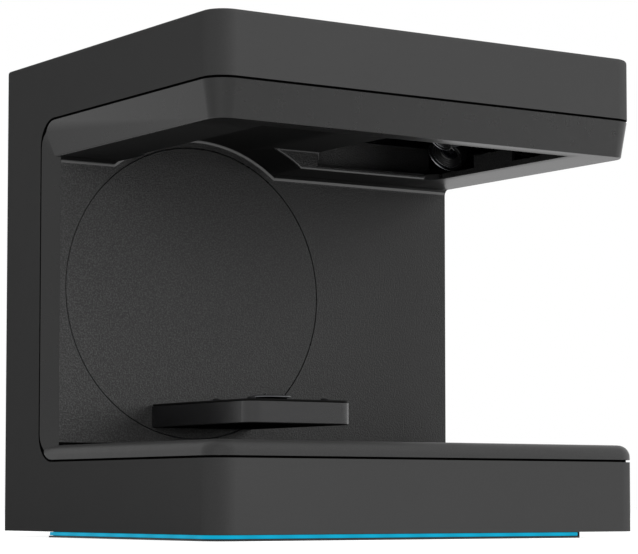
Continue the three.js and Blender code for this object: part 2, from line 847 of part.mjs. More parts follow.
const hubY = [wallY + discThickness + fitGap, wallY + discThickness + fitGap + hubThickness];
const bearingY = [hubY[1] + runningGap, chassisY[0] - fitGap];
const pulleyFront = chassisY[1] + pulleyStandoff;
const pulleyY = [pulleyFront, pulleyFront + swingBeltWidth + 2 * pulleyFlange];

add('swing_bearing', onSwingAxis(alongY(turned([
  [shaftRadius + runningGap, bearingY[0]],
  [bearingRadius, bearingY[0]],
  [bearingRadius, bearingY[1] - bearingFlangeThickness],
  [bearingFlangeRadius, bearingY[1] - bearingFlangeThickness],
  [bearingFlangeRadius, bearingY[1]],
  [shaftRadius + runningGap, bearingY[1]],
]))), aluminium);

add('swing_shaft', onSwingAxis(alongY(turned([
  [0, hubY[0]],
  [hubRadius, hubY[0]],
  [hubRadius, hubY[1]],
  [shaftRadius, hubY[1]],
  [shaftRadius, pulleyY[1] + pulleyFlange],
  [0, pulleyY[1] + pulleyFlange],
]))), steel);

const discY = [wallY, wallY + discThickness];
add('swing_disc', onSwingAxis(alongY(rod(discRadius, discY, discSides))), discPlastic);

function swingPulley() {
  const bore = shaftRadius + fitGap;
  const body = alongY(turned([
    [bore, pulleyY[0]],
    [swingPulleyRadius + flangeRise, pulleyY[0]],
    [swingPulleyRadius + flangeRise, pulleyY[0] + pulleyFlange],
    [swingPulleyRadius, pulleyY[0] + pulleyFlange],
    [swingPulleyRadius, pulleyY[1] - pulleyFlange],
    [swingPulleyRadius + flagRise, pulleyY[1] - pulleyFlange],
    [swingPulleyRadius + flagRise, pulleyY[1]],
    [bore, pulleyY[1]],
  ]));
  const flagSlot = box(
    around(0, flagSlotWidth),
    [pulleyY[1] - pulleyFlange, pulleyY[1] + overrun],
    [-swingPulleyRadius - overrun - flagRise, -swingPulleyRadius - flangeRise],
  );
  return cut(body, flagSlot);
}

add('swing_pulley', onSwingAxis(swingPulley()), aluminium);

// Motor that swings the arm, in front of the chassis, with its shaft through to the pulley behind

function swingMotor() {
  const y = [chassisY[0] - fitGap - swingMotorLength, chassisY[0] - fitGap];
  const chamfer = swingMotorBoss / 3;
  const side = around(0, swingMotorSide);
  const outline = roundedRectangle(side, side, Array(4).fill(chamfer));
  const boss = alongY(rod(swingMotorBoss, [y[1] - overrun, chassisY[1]], smallSides));
  const boreY = [y[0] + swingMotorLength / 3, chassisY[1] + overrun];
  const bore = alongY(rod(swingMotorShaftRadius + runningGap, boreY, smallSides));
  return cut(join(extrudedY(outline, y), boss), bore);
}

const swingMotorPulleyRadius = swingPulleyRadius / swingDriveRatio;
add('swing_motor', onSwingAxis(swingMotor(), swingMotorX), blackPlastic);

function drivePulley(radius, shaft, rise, z, shaftEnd, sides = smallSides) {
  return turned([
    [0, shaftEnd],
    [shaft, shaftEnd],
    [shaft, z[0]],
    [radius + rise, z[0]],
    [radius + rise, z[0] + pulleyFlange],
    [radius, z[0] + pulleyFlange],
    [radius, z[1] - pulleyFlange],
    [radius + rise, z[1] - pulleyFlange],
    [radius + rise, z[1]],
    [0, z[1]],
  ], sides);
}

add('swing_motor_pulley', onSwingAxis(alongY(drivePulley(
  swingMotorPulleyRadius,
  swingMotorShaftRadius,
  flangeRise,
  pulleyY,
  chassisY[0] - swingMotorLength / 2,
)), swingMotorX), aluminium);

function swingBelt() {
  const inner = [swingPulleyRadius + fitGap, swingMotorPulleyRadius + fitGap];
  const outer = inner.map((radius) => radius + swingBeltThickness);
  const y = [pulleyY[0] + pulleyFlange + fitGap, pulleyY[1] - pulleyFlange - fitGap];
  const holes = [beltOutline(...inner, swingMotorDistance).reverse()];
  return extrudedY(beltOutline(...outer, swingMotorDistance), y, holes);
}

add('swing_belt', onSwingAxis(swingBelt()), beltRubber);

// Fork sensor over the rim of the large pulley
function homeSensor() {
  const rim = swingPulleyRadius + flagRise;
  const inner = swingPulleyRadius + swingBeltThickness + runningGap * 2;
  const forkY = around((pulleyY[1] * 2 - pulleyFlange) / 2, sensorSlot + 2 * sensorWall);
  const legY = [chassisY[1] + fitGap, forkY[1]];
  const leg = box(around(0, sensorWidth), legY, [rim + runningGap * 2, inner + sensorHeight]);
  const fork = box(around(0, sensorWidth), forkY, [inner, inner + sensorHeight]);
  const slot = box(
    around(0, sensorWidth + overrun),
    around((pulleyY[1] * 2 - pulleyFlange) / 2, sensorSlot),
    [inner - overrun, rim + runningGap * 2],
  );
  return cut(join(leg, fork), slot);
}

add('home_sensor', onSwingAxis(homeSensor()), blackPlastic);

// Arm: a shallow tray with a black cover, fixed to the front of the disc

const armBack = wallY - fitGap;
const trayTop = armTop - coverThickness - fitGap;
const trayFloor = armBottom + armWall;

function armOutline(inset) {
  const radius = armCornerRadius - inset;
  const [x, y] = [[armX[0] + inset, armX[1] - inset], [armFront + inset, armBack - inset]];
  return roundedRectangle(x, y, [0, radius, radius, 0]);
}

add('arm_tray', cut(
  extruded(armOutline(0), [armBottom, trayTop]),
  extruded(armOutline(armWall), [trayFloor, trayTop + overrun]),
), armPaint);

add('arm_cover', extruded(
  armOutline(coverInset),
  [armTop - coverThickness, armTop],
  [circle([tableX, tableY], spindleRadius + runningGap * 2, smallSides).reverse()],
), blackPlastic);

const padSpots = [[-1, -1], [1, -1], [-1, 1], [1, 1]];
padSpots.forEach(([sideX, sideY], i) => {
  const pad = rod(padRadius, [armTop + fitGap, armTop + padHeight], smallSides);
  const [x, y] = [tableX + sideX * padSideways, tableY + sideY * padLengthways];
  add(`arm_pad_${i + 1}`, pad.translate(x, y, 0), rubber);
});

// Turntable with its spindle, bush, pulley, belt and motor in the arm

const atTable = (piece, y = tableY) => toGeometry(piece).translate(tableX, y, 0);
const tableZ = [armTop + tableLift, armTop + tableLift + tableThickness];
const driveTop = armTop - coverThickness - runningGap * 2;
const driveZ = [driveTop - tableBeltWidth - 2 * tablePulleyFlange, driveTop];
const tableMotorY = tableY + tableMotorDistance;
const tableMotorZ = [trayFloor + fitGap, trayFloor + fitGap + tableMotorHeight];

add('turntable', atTable(turned([
  [0, tableZ[0]],
  [tableRadius - tableEdge, tableZ[0]],
  [tableRadius, tableZ[0] + tableEdge],
  [tableRadius, tableZ[1] - tableEdge],
  [tableRadius - tableEdge, tableZ[1]],
  [0, tableZ[1]],
])), steel);

const pinAngles = [Math.PI / 2, Math.PI * 7 / 6, Math.PI * 11 / 6];
pinAngles.forEach((angle, i) => {
  const pin = rod(pinRadius, [tableZ[1] + fitGap, tableZ[1] + fitGap + pinHeight], smallSides / 2);
  const [x, y] = [tableX + pinCircleRadius * Math.cos(angle), tableY + pinCircleRadius * Math.sin(angle)];
  add(`locating_pin_${i + 1}`, pin.translate(x, y, 0), brass);
});

const spindleZ = [trayFloor + runningGap * 2, tableZ[0] - fitGap];
add('table_spindle', atTable(rod(spindleRadius, spindleZ, smallSides)), steel);

add('table_bush', atTable(turned([
  [spindleRadius + runningGap, trayFloor + fitGap],
  [bushRadius, trayFloor + fitGap],
  [bushRadius, driveZ[0] - runningGap],
  [spindleRadius + runningGap, driveZ[0] - runningGap],
], smallSides)), brass);

function tablePulley() {
  const [bore, radius, flange] = [spindleRadius + fitGap, tablePulleyRadius, tablePulleyFlange];
  return turned([
    [bore, driveZ[0]],
    [radius + flangeRise / 2, driveZ[0]],
    [radius + flangeRise / 2, driveZ[0] + flange],
    [radius, driveZ[0] + flange],
    [radius, driveZ[1] - flange],
    [radius + flangeRise / 2, driveZ[1] - flange],
    [radius + flangeRise / 2, driveZ[1]],
    [bore, driveZ[1]],
  ]);
}

add('table_pulley', atTable(tablePulley()), aluminium);

function tableMotor() {
  const corner = Array(4).fill(tableMotorShaftRadius * 2);
  const outline = roundedRectangle(around(0, tableMotorSide), around(0, tableMotorSide), corner);
  const boreZ = [tableMotorZ[0] + tableMotorHeight / 3, driveTop];
  const bore = rod(tableMotorShaftRadius + runningGap, boreZ, smallSides);
  return cut(extruded(outline, tableMotorZ), bore);
}

const tableMotorPulleyRadius = tablePulleyRadius / tableDriveRatio;
add('table_motor', atTable(tableMotor(), tableMotorY), blackPlastic);

function tableMotorPulley() {
  const [radius, flange] = [tableMotorPulleyRadius, tablePulleyFlange];
  const low = tableMotorZ[1] + runningGap;
  return turned([
    [0, tableMotorZ[1] - tableMotorHeight / 3],
    [tableMotorShaftRadius, tableMotorZ[1] - tableMotorHeight / 3],
    [tableMotorShaftRadius, low],
    [radius, low],
    [radius, driveZ[1] - flange],
    [radius + flangeRise / 2, driveZ[1] - flange],
    [radius + flangeRise / 2, driveZ[1]],
    [0, driveZ[1]],
  ], smallSides);
}

add('table_motor_pulley', atTable(tableMotorPulley(), tableMotorY), aluminium);

function tableBelt() {
  const inner = [tablePulleyRadius + fitGap, tableMotorPulleyRadius + fitGap];
  const outer = inner.map((radius) => radius + tableBeltThickness);
  const z = [driveZ[0] + tablePulleyFlange + fitGap, driveZ[1] - tablePulleyFlange - fitGap];
  const holes = [beltOutline(...inner, tableMotorDistance).reverse()];
  return extruded(beltOutline(...outer, tableMotorDistance), z, holes).rotateZ(Math.PI / 2);
}

add('table_belt', atTable(tableBelt()), beltRubber);

// Optical head under the roof: a bench with two cameras under it and a projector above it

const head = new THREE.Group();
head.position.set(headX, headY, headZ);
head.rotation.y = pitch;
group.add(head);

const workingDistance = (headX - tableX) / Math.sin(pitch);
const toeIn = Math.atan(cameraSpacing / 2 / workingDistance);
const cameraBack = lensLength + fitGap + cameraLength;
const benchX = [-cameraSide / 2 - fitGap - benchThickness, -cameraSide / 2 - fitGap];

function opticalBench() {
  const spread = cameraSpacing / 2 + cameraSide / 2 + benchOverhang;
  const plate = box(benchX, [-spread, spread], [lensLength + fitGap, cameraBack + benchOverhang]);
  const nose = box(benchX, around(0, projectorWidth), [-projectorFront / 2, cameraBack]);
  const sloping = toGeometry(join(plate, nose)).rotateY(pitch).translate(headX, headY, headZ);
  const endX = headX + (benchX[0] + cameraBack + benchOverhang) * Math.sin(pitch);
  const flange = box(
    around(endX, benchFlangeWidth),
    [headY - spread, headY + spread],
    [roof - fitGap - benchFlangeHeight, roof - fitGap],
  );
  const belowRoof = box([left, right], [front, rear], [deskClearance, roof - fitGap]);
  return common(join(sloping, flange), belowRoof);
}

add('optics_bench', opticalBench(), aluminium);

// A lens barrel from its face at z = 0, with a shallow dish for the glass
function lensBarrel(radius, length, glass) {
  return turned([
    [0, lensFaceDepth],
    [glass + fitGap, lensFaceDepth],
    [radius - lensFaceDepth / 2, 0],
    [radius, lensFaceDepth / 2],
    [radius, lensRingLength],
    [radius - lensStep, lensRingLength],
    [radius - lensStep, length],
    [0, length],
  ]);
}

// Glass with a bulging face, seated in the dish of its barrel
function lensFront(radius) {
  const bulge = arc([0, 0], 1, Math.PI / 2, 0, cornerSteps)
    .map(([across, up]) => [radius * up, lensFaceDepth - fitGap - glassBulge * across]);
  return turned([[0, lensFaceDepth - fitGap], ...bulge], smallSides);
}

[['front', -1], ['rear', 1]].forEach(([place, side]) => {
  const mount = new THREE.Group();
  mount.position.y = side * cameraSpacing / 2;
  mount.rotation.x = -side * toeIn;
  head.add(mount);
  add(`camera_${place}_lens`, lensBarrel(lensRadius, lensLength, glassRadius), lensBlack, mount);
  add(`camera_${place}_glass`, lensFront(glassRadius), lensGlass, mount);
  const corners = Array(4).fill(lensStep);
  const outline = roundedRectangle(around(0, cameraSide), around(0, cameraSide), corners);
  add(`camera_${place}_body`, extruded(outline, [lensLength + fitGap, cameraBack]), blackPlastic, mount);
});

const projector = new THREE.Group();
projector.position.set(benchX[0] - fitGap - projectorDepth / 2, 0, -projectorFront);
head.add(projector);
const projectorBarrel = lensBarrel(projectorLensRadius, projectorLensLength, projectorGlassRadius);
add('projector_lens', projectorBarrel, lensBlack, projector);
add('projector_glass', lensFront(projectorGlassRadius), lensGlass, projector);
add('projector_body', extruded(
  roundedRectangle(around(0, projectorDepth), around(0, projectorWidth), Array(4).fill(lensStep)),
  [projectorLensLength + fitGap, projectorLensLength + fitGap + projectorLength],
), blackPlastic, projector);

// Power supply on the base plate, and main board on the back of the chassis plate

function powerSupply() {
  const [width, depth, height] = supplySize;
  const y = [chassisY[0] - supplyFromChassis - depth, chassisY[0] - supplyFromChassis];
  const bottom = basePlateTop + fitGap;
  const body = box(around(supplyX, width), y, [bottom, bottom + height]);
  const slots = Array.from({ length: supplySlotCount }, (_, i) => {
    const x = supplyX + (i - (supplySlotCount - 1) / 2) * width / (supplySlotCount + 1);
    return box(
      around(x, ventSlotWidth),
      around((y[0] + y[1]) / 2, depth * supplySlotShare),
      [bottom + height - panelThickness, bottom + height + overrun],
    );
  });
  return cut(body, ...slots);
}

add('power_supply', powerSupply(), aluminium);

function mainBoard() {
  const [width, height] = boardSize;
  const y = [chassisY[1] + fitGap + boardStandoff, chassisY[1] + fitGap + boardStandoff + boardThickness];
  const board = box(around(boardX, width), y, [boardBottom, boardBottom + height]);
  const reach = [width / 2 - boardEdgeMargin, height / 2 - boardEdgeMargin];
  const middleZ = boardBottom + height / 2;
  const standoffs = [[-1, -1], [1, -1], [-1, 1], [1, 1]].map(([sideX, sideZ]) => (
    alongY(rod(boardStandoffRadius, [chassisY[1] + fitGap, y[1]], smallSides))
      .translate(boardX + sideX * reach[0], 0, middleZ + sideZ * reach[1])
  ));
  const chipShares = [
    [-0.2, 0.15, 0.24, 0.28],
    [0.22, 0.2, 0.2, 0.2],
    [-0.22, -0.25, 0.3, 0.14],
    [0.2, -0.22, 0.28, 0.22],
  ];
  const chips = chipShares.map(([atX, atZ, wide, high]) => box(
    around(boardX + atX * width, wide * width),
    [y[0], y[1] + chipHeight],
    around(middleZ + atZ * height, high * height),
  ));
  return join(board, ...standoffs, ...chips);
}

add('main_board', mainBoard(), boardGreen);

export default group;
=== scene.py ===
import math

import bmesh
import bpy
from mathutils import Matrix, Vector


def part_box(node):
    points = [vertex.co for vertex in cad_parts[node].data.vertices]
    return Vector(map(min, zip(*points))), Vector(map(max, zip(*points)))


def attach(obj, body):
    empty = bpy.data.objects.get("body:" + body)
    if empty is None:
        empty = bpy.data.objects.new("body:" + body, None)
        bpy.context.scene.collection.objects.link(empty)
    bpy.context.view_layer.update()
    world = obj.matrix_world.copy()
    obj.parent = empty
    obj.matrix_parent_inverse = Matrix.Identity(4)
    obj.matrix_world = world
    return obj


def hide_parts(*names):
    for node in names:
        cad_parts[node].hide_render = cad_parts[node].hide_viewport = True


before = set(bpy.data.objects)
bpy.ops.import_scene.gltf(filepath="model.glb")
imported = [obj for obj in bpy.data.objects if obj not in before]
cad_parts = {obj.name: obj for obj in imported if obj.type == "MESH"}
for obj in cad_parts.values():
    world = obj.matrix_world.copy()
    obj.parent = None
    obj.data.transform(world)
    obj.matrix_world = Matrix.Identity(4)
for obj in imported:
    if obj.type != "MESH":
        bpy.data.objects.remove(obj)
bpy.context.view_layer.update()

# A desktop 3D scanner. Metres, +Z up, front towards -Y, the middle of its footprint at the origin.

millimetre = 0.001
print("frame loaded:", len(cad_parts), "nodes")


# Camera

camera = {
    "place": (-1.16948, -1.74661, 0.02992),
    "turn": 33.818,        # degrees to the right of straight back
    "pitch": 3.85,         # degrees up
    "shift": 0.0928,       # the rest of the rise, as a share of the image width
    "focal": 2459.06,      # pixels
    "imageWidth": 638,     # pixels
    "sensor": 36.0,        # millimetres
    "nearest": 0.05,
    "farthest": 60,
}


def addCamera():
    data = bpy.data.cameras.new("photoCamera")
    data.sensor_width = camera["sensor"]
    data.lens = camera["focal"] / camera["imageWidth"] * camera["sensor"]
    data.shift_y = camera["shift"]
    data.clip_start = camera["nearest"]
    data.clip_end = camera["farthest"]
    eye = bpy.data.objects.new("photoCamera", data)
    eye.location = camera["place"]
    eye.rotation_euler = (math.radians(90 + camera["pitch"]), 0, -math.radians(camera["turn"]))
    bpy.context.scene.collection.objects.link(eye)
    bpy.context.scene.camera = eye


addCamera()


# Light, background and floor

studio = {
    "ambient": 0.14,       # strength of the even light all round
    "background": 1.0,     # what the camera and reflections see
    "floorSize": 16.0,
    "floorCells": 4,
    "floorColour": (0.50, 0.50, 0.50),
    "floorRough": 0.9,
    "floorSpecular": 0.1,
    "floorLift": 0.88,     # brings the floor up to white for the camera, under its shadow
}
lamps = {
    "right": {"place": (3.9, -2.9, 1.7), "aim": (0, 0, 0.2), "size": 3.4, "power": 312},
    "left": {"place": (-1.8, -1.5, 0.72), "aim": (0, 0, 0.2), "size": 1.5, "power": 25},
    "top": {"place": (0.4, -0.6, 2.6), "aim": (0, 0, 0.2), "size": 2.0, "power": 16},
}


def seenDirectly(tree):  # 1 for what the camera sees by itself, in gloss or through glass
    path = tree.nodes.new("ShaderNodeLightPath")
    seen = path.outputs["Is Camera Ray"]
    for ray in ("Is Glossy Ray", "Is Transmission Ray"):
        either = tree.nodes.new("ShaderNodeMath")
        either.operation = "MAXIMUM"
        tree.links.new(seen, either.inputs[0])
        tree.links.new(path.outputs[ray], either.inputs[1])
        seen = either.outputs[0]
    return seen


def addWorld():
    world = bpy.data.worlds.new("studio")
    bpy.context.scene.world = world
    world.use_nodes = True
    tree = world.node_tree
    ambient = tree.nodes["Background"]
    ambient.inputs["Color"].default_value = (1, 1, 1, 1)
    ambient.inputs["Strength"].default_value = studio["ambient"]
    white = tree.nodes.new("ShaderNodeBackground")
    white.inputs["Color"].default_value = (1, 1, 1, 1)
    white.inputs["Strength"].default_value = studio["background"]
    mix = tree.nodes.new("ShaderNodeMixShader")
    tree.links.new(seenDirectly(tree), mix.inputs[0])
    tree.links.new(ambient.outputs[0], mix.inputs[1])
    tree.links.new(white.outputs[0], mix.inputs[2])
    tree.links.new(mix.outputs[0], tree.nodes["World Output"].inputs["Surface"])


def addFloor():
    bm = bmesh.new()
    cells = studio["floorCells"]
    bmesh.ops.create_grid(bm, x_segments=cells, y_segments=cells, size=studio["floorSize"] / 2)
    mesh = bpy.data.meshes.new("floor")
    bm.to_mesh(mesh)
    bm.free()
    floor = bpy.data.objects.new("floor", mesh)
    bpy.context.scene.collection.objects.link(floor)
    material = bpy.data.materials.new("paleFloor")
    material.use_nodes = True
    tree = material.node_tree
    shader = tree.nodes["Principled BSDF"]
    shader.inputs["Base Color"].default_value = (*studio["floorColour"], 1)
    shader.inputs["Roughness"].default_value = studio["floorRough"]
    shader.inputs["Specular IOR Level"].default_value = studio["floorSpecular"]
    shader.inputs["Emission Color"].default_value = (1, 1, 1, 1)
    lift = tree.nodes.new("ShaderNodeMath")
    lift.operation = "MULTIPLY"
    tree.links.new(seenDirectly(tree), lift.inputs[0])
    lift.inputs[1].default_value = studio["floorLift"]
    tree.links.new(lift.outputs[0], shader.inputs["Emission Strength"])
    floor.data.materials.append(material)


def addLamps():
    for name, lamp in lamps.items():
        data = bpy.data.lights.new(name + "Lamp", "AREA")
        data.size = lamp["size"]
        data.energy = lamp["power"]
        lit = bpy.data.objects.new(name + "Lamp", data)
        lit.location = lamp["place"]
        aim = Vector(lamp["aim"]) - Vector(lamp["place"])
        lit.rotation_euler = aim.to_track_quat("-Z", "Y").to_euler()
        lit.visible_camera = False
        lit.visible_glossy = False  # gloss shows the white room alone
        bpy.context.scene.collection.objects.link(lit)


addWorld()
addFloor()
addLamps()
bpy.context.scene.view_settings.view_transform = "Standard"
print("studio set")


# Finishes. Each is a small graph on object coordinates, in metres.

def linear(grey):  # a screen value from 0 to 255 as light
    share = grey / 255
    return share / 12.92 if share <= 0.04045 else ((share + 0.055) / 1.055) ** 2.4


def colourOf(screen, gain=1.0):
    return tuple(min(1.0, linear(value) * gain) for value in screen) + (1,)


class Graph:  # one material while its nodes are added
    def __init__(self, name):
        self.material = bpy.data.materials.new(name)
        self.material.use_nodes = True
        self.tree = self.material.node_tree
        self.shader = self.tree.nodes["Principled BSDF"]
        self.place = self.add("ShaderNodeTexCoord").outputs["Object"]

    def add(self, kind, **settings):
        node = self.tree.nodes.new(kind)
        for key, value in settings.items():
            setattr(node, key, value)
        return node

    def join(self, source, target):
        self.tree.links.new(source, target)

    def stretched(self, scale, turn=(0, 0, 0)):
        node = self.add("ShaderNodeMapping")
        node.inputs["Scale"].default_value = scale
        node.inputs["Rotation"].default_value = turn
        self.join(self.place, node.inputs["Vector"])
        return node.outputs["Vector"]

    def noise(self, size, detail=3.0, roughness=0.5, place=None):
        node = self.add("ShaderNodeTexNoise")
        node.inputs["Scale"].default_value = 1 / size
        node.inputs["Detail"].default_value = detail
        node.inputs["Roughness"].default_value = roughness
        self.join(place or self.place, node.inputs["Vector"])
        return node.outputs["Fac"]

    def ranged(self, value, low, high, fromLow=0.3, fromHigh=0.7):
        node = self.add("ShaderNodeMapRange")
        node.inputs["From Min"].default_value = fromLow
        node.inputs["From Max"].default_value = fromHigh
        node.inputs["To Min"].default_value = low
        node.inputs["To Max"].default_value = high
        self.join(value, node.inputs["Value"])
        return node.outputs["Result"]

    def mixed(self, share, first, second):
        node = self.add("ShaderNodeMix", data_type="RGBA")
        self.join(share, node.inputs["Factor"])
        for socket, value in ((node.inputs[6], first), (node.inputs[7], second)):  # the two colours
            if isinstance(value, tuple):
                socket.default_value = value
            else:
                self.join(value, socket)
        return node.outputs[2]

    def maths(self, operation, first, second):
        node = self.add("ShaderNodeMath", operation=operation)
        for socket, value in ((node.inputs[0], first), (node.inputs[1], second)):
            if isinstance(value, (int, float)):
                socket.default_value = value
            else:
                self.join(value, socket)
        return node.outputs[0]

    def bumped(self, height, depth):
        node = self.add("ShaderNodeBump")
        node.inputs["Strength"].default_value = 1.0
        node.inputs["Distance"].default_value = depth
        self.join(height, node.inputs["Height"])
        self.join(node.outputs["Normal"], self.shader.inputs["Normal"])


finishes = {
    "shellPaint": {
        "colour": (66, 66, 66), "rough": (0.60, 0.66), "specular": 0.01, "mottle": 0.02,
        "grain": 0.0007, "grainDepth": 0.00003, "speckle": 0.06,
    },
    "linerPlastic": {
        "colour": (10, 10, 10), "rough": (0.27, 0.29), "specular": 0.40, "mottle": 0.02,
        "grain": 0.0008, "grainDepth": 0.00002, "speckle": 0.12,
    },
    "wallPlastic": {
        "colour": (53, 53, 53), "rough": (0.46, 0.50), "specular": 0.22, "mottle": 0.02,
        "grain": 0.0014, "grainDepth": 0.00080, "speckle": 0.60,
        # painted shade: how dark and how far the painted darkening towards the right goes
        "shadedRightTone": 0.50, "shadedRightShare": 0.85, "across": (-0.20, 0.15),
    },
    "ceilingMatt": {
        "colour": (8, 8, 8), "rough": (0.74, 0.33), "specular": 0.12, "mottle": 0.02,
        "grain": 0.0009, "grainDepth": 0.00004, "speckle": 0.20,
    },
    "floorPlastic": {
        "colour": (48, 48, 48), "rough": (0.40, 0.44), "specular": 0.25, "mottle": 0.02,
        "grain": 0.0009, "grainDepth": 0.00004, "speckle": 0.12,
    },
    "coverBlack": {
        "colour": (10, 10, 10), "rough": (0.50, 0.60), "specular": 0.08, "mottle": 0.04,
        "grain": 0.0008, "grainDepth": 0.00003, "speckle": 0.12,
    },
    # painted highlight: a lighter, glossier plastic put on the rounded edges where the light lines fall
    "paintedEdgeHighlight": {
        "colour": (48, 48, 48), "rough": (0.30, 0.34), "specular": 0.75, "mottle": 0.02,
        "grain": 0.0009, "grainDepth": 0.00002, "speckle": 0.12,
    },
    # painted shade: near-black put where shade falls, in the seam gaps, under the arm, under the turntable's
    # rim and in the floor's corner
    "paintedShadeBlack": {
        "colour": (6, 6, 6), "rough": (0.80, 0.90), "specular": 0.02, "mottle": 0.04,
        "grain": 0.0010, "grainDepth": 0.00002, "speckle": 0.10,
    },
    "armPaint": {
        "colour": (22, 22, 23), "rough": (0.20, 0.24), "specular": 0.55, "mottle": 0.02,
        "grain": 0.0005, "grainDepth": 0.000003, "speckle": 0.05,
    },
    "glossBlack": {
        "colour": (16, 16, 17), "rough": (0.12, 0.2), "specular": 0.5, "mottle": 0.05,
        "grain": 0.004, "grainDepth": 0.00001, "speckle": 0.0,
    },
    "blackPlastic": {
        "colour": (24, 24, 25), "rough": (0.42, 0.58), "specular": 0.4, "mottle": 0.08,
        "grain": 0.0006, "grainDepth": 0.00004, "speckle": 0.12,
    },
    "lensBlack": {
        "colour": (30, 30, 31), "rough": (0.28, 0.40), "specular": 0.5, "mottle": 0.06,
        "grain": 0.0004, "grainDepth": 0.00001, "speckle": 0.06,
    },
    "rubber": {
        "colour": (30, 30, 31), "rough": (0.75, 0.9), "specular": 0.25, "mottle": 0.12,
        "grain": 0.0008, "grainDepth": 0.00005, "speckle": 0.15,
    },
    "blackAnodised": {
        "colour": (26, 26, 27), "rough": (0.26, 0.34), "specular": 0.5, "mottle": 0.04,
        "grain": 0.0006, "grainDepth": 0.00001, "speckle": 0.08,
    },
    "panelPaint": {
        "colour": (58, 59, 61), "rough": (0.48, 0.64), "specular": 0.35, "mottle": 0.06,
        "grain": 0.0012, "grainDepth": 0.00008, "speckle": 0.12,
    },
}


moulding = {
    "cloud": 0.05, "cloudDetail": 4, "grainDetail": 2, "grainMix": 0.6, "grainRange": (0.42, 0.68),
    "polish": 0.012, "polishDetail": 3,
}


def fineGrain(graph, look):
    return graph.noise(look["grain"], moulding["grainDetail"], moulding["grainMix"])


def mouldedFinish(name):
    look = finishes[name]
    graph = Graph(name)
    shader = graph.shader
    cloudy = graph.noise(moulding["cloud"], moulding["cloudDetail"])
    tone = graph.mixed(
        graph.ranged(cloudy, 0, 1),
        colourOf(look["colour"], 1 - look["mottle"]),
        colourOf(look["colour"], 1 + look["mottle"]),
    )
    fine = fineGrain(graph, look)
    speckled = graph.mixed(
        graph.ranged(fine, 0, 1, *moulding["grainRange"]),
        tone,
        colourOf(look["colour"], 1 + 2 * look["speckle"]),
    )
    # painted shade: the wall and the disc are painted darker and smoother towards the right, standing in for
    # less light falling there
    if "across" in look:  # smoother and darker towards the right
        split = graph.add("ShaderNodeSeparateXYZ")
        graph.join(graph.place, split.inputs[0])
        share = graph.ranged(split.outputs["X"], 0, look["shadedRightShare"], *look["across"])
        speckled = graph.mixed(share, speckled, colourOf(look["colour"], look["shadedRightTone"]))
    graph.join(speckled, shader.inputs["Base Color"])
    polish = graph.noise(moulding["polish"], moulding["polishDetail"])
    graph.join(graph.ranged(polish, *look["rough"]), shader.inputs["Roughness"])
    shader.inputs["Specular IOR Level"].default_value = look["specular"]
    graph.bumped(fine, look["grainDepth"])
    return graph.material


window = {"across": (0.055, 0.115), "blackRough": 0.95, "specular": 0.3}


# painted shade: the wall behind the window is painted darker, to black towards the lenses, standing in for
# the light falling off there
def windowShadeFinish():  # the wall behind the window, blacked towards the lenses
    look = finishes["wallPlastic"]
    colour = look["colour"]
    graph = Graph("windowPaintedShade")
    split = graph.add("ShaderNodeSeparateXYZ")
    graph.join(graph.place, split.inputs[0])
    cover = graph.ranged(split.outputs["X"], 0, 1, *window["across"])
    fine = fineGrain(graph, look)
    speckle = graph.ranged(fine, 0, 1, *moulding["grainRange"])
    bare = graph.mixed(speckle, colourOf(colour), colourOf(colour, 1 + look["speckle"]))
    black = colourOf(finishes["paintedShadeBlack"]["colour"])
    graph.join(graph.mixed(cover, bare, black), graph.shader.inputs["Base Color"])
    rough = graph.ranged(cover, look["rough"][0], window["blackRough"], 0, 1)
    graph.join(rough, graph.shader.inputs["Roughness"])
    graph.shader.inputs["Specular IOR Level"].default_value = window["specular"]
    graph.bumped(fine, look["grainDepth"])
    return graph.material


ceilingRim = {"x": 0.153, "y": -0.150, "fade": (-0.03, 0.01)}


def ceilingFinish():  # matt, but polished on the rim outside two edges
    look = finishes["ceilingMatt"]
    colour = look["colour"]
    graph = Graph("ceilingMatt")
    split = graph.add("ShaderNodeSeparateXYZ")
    graph.join(graph.place, split.inputs[0])
    pastRight = graph.maths("SUBTRACT", split.outputs["X"], ceilingRim["x"])
    pastFront = graph.maths("SUBTRACT", ceilingRim["y"], split.outputs["Y"])
    past = graph.maths("MAXIMUM", pastRight, pastFront)
    graph.join(graph.ranged(past, *look["rough"], *ceilingRim["fade"]), graph.shader.inputs["Roughness"])
    fine = fineGrain(graph, look)
    tone = graph.mixed(graph.ranged(fine, 0, 1), colourOf(colour), colourOf(colour, 1 + look["speckle"]))
    graph.join(tone, graph.shader.inputs["Base Color"])
    graph.shader.inputs["Specular IOR Level"].default_value = look["specular"]
    graph.bumped(fine, look["grainDepth"])
    return graph.material


metals = {
    "steel": {
        "colour": (178, 180, 183), "rough": (0.22, 0.36), "lines": (0.3, 0.0004), "depth": 0.000008,
    },
    "aluminium": {
        "colour": (170, 172, 175), "rough": (0.30, 0.46), "lines": (0.2, 0.0005), "depth": 0.00001,
    },
    "brass": {
        "colour": (190, 150, 82), "rough": (0.20, 0.34), "lines": (0.2, 0.0005), "depth": 0.000008,
    },
    "sheetSteel": {
        "colour": (150, 153, 156), "rough": (0.36, 0.55), "lines": (0.5, 0.0007), "depth": 0.00001,
    },
    "polishedRing": {
        "colour": (150, 152, 155), "rough": (0.24, 0.32), "lines": (0.05, 0.0004), "depth": 0.000003,
    },
    "greyAnodised": {
        "colour": (104, 105, 107), "rough": (0.26, 0.34), "lines": (0.05, 0.0004), "depth": 0.000003,
    },
    "socketShell": {
        "colour": (160, 162, 165), "rough": (0.2, 0.34), "lines": (0.1, 0.0003), "depth": 0.000005,
    },
}
brushing = {
    "lineDetail": 2, "lineMix": 0.6, "lineShare": 0.35, "lineGain": 0.72,
    "stain": 0.02, "stainDetail": 4, "stainGains": (0.88, 1.06),
}


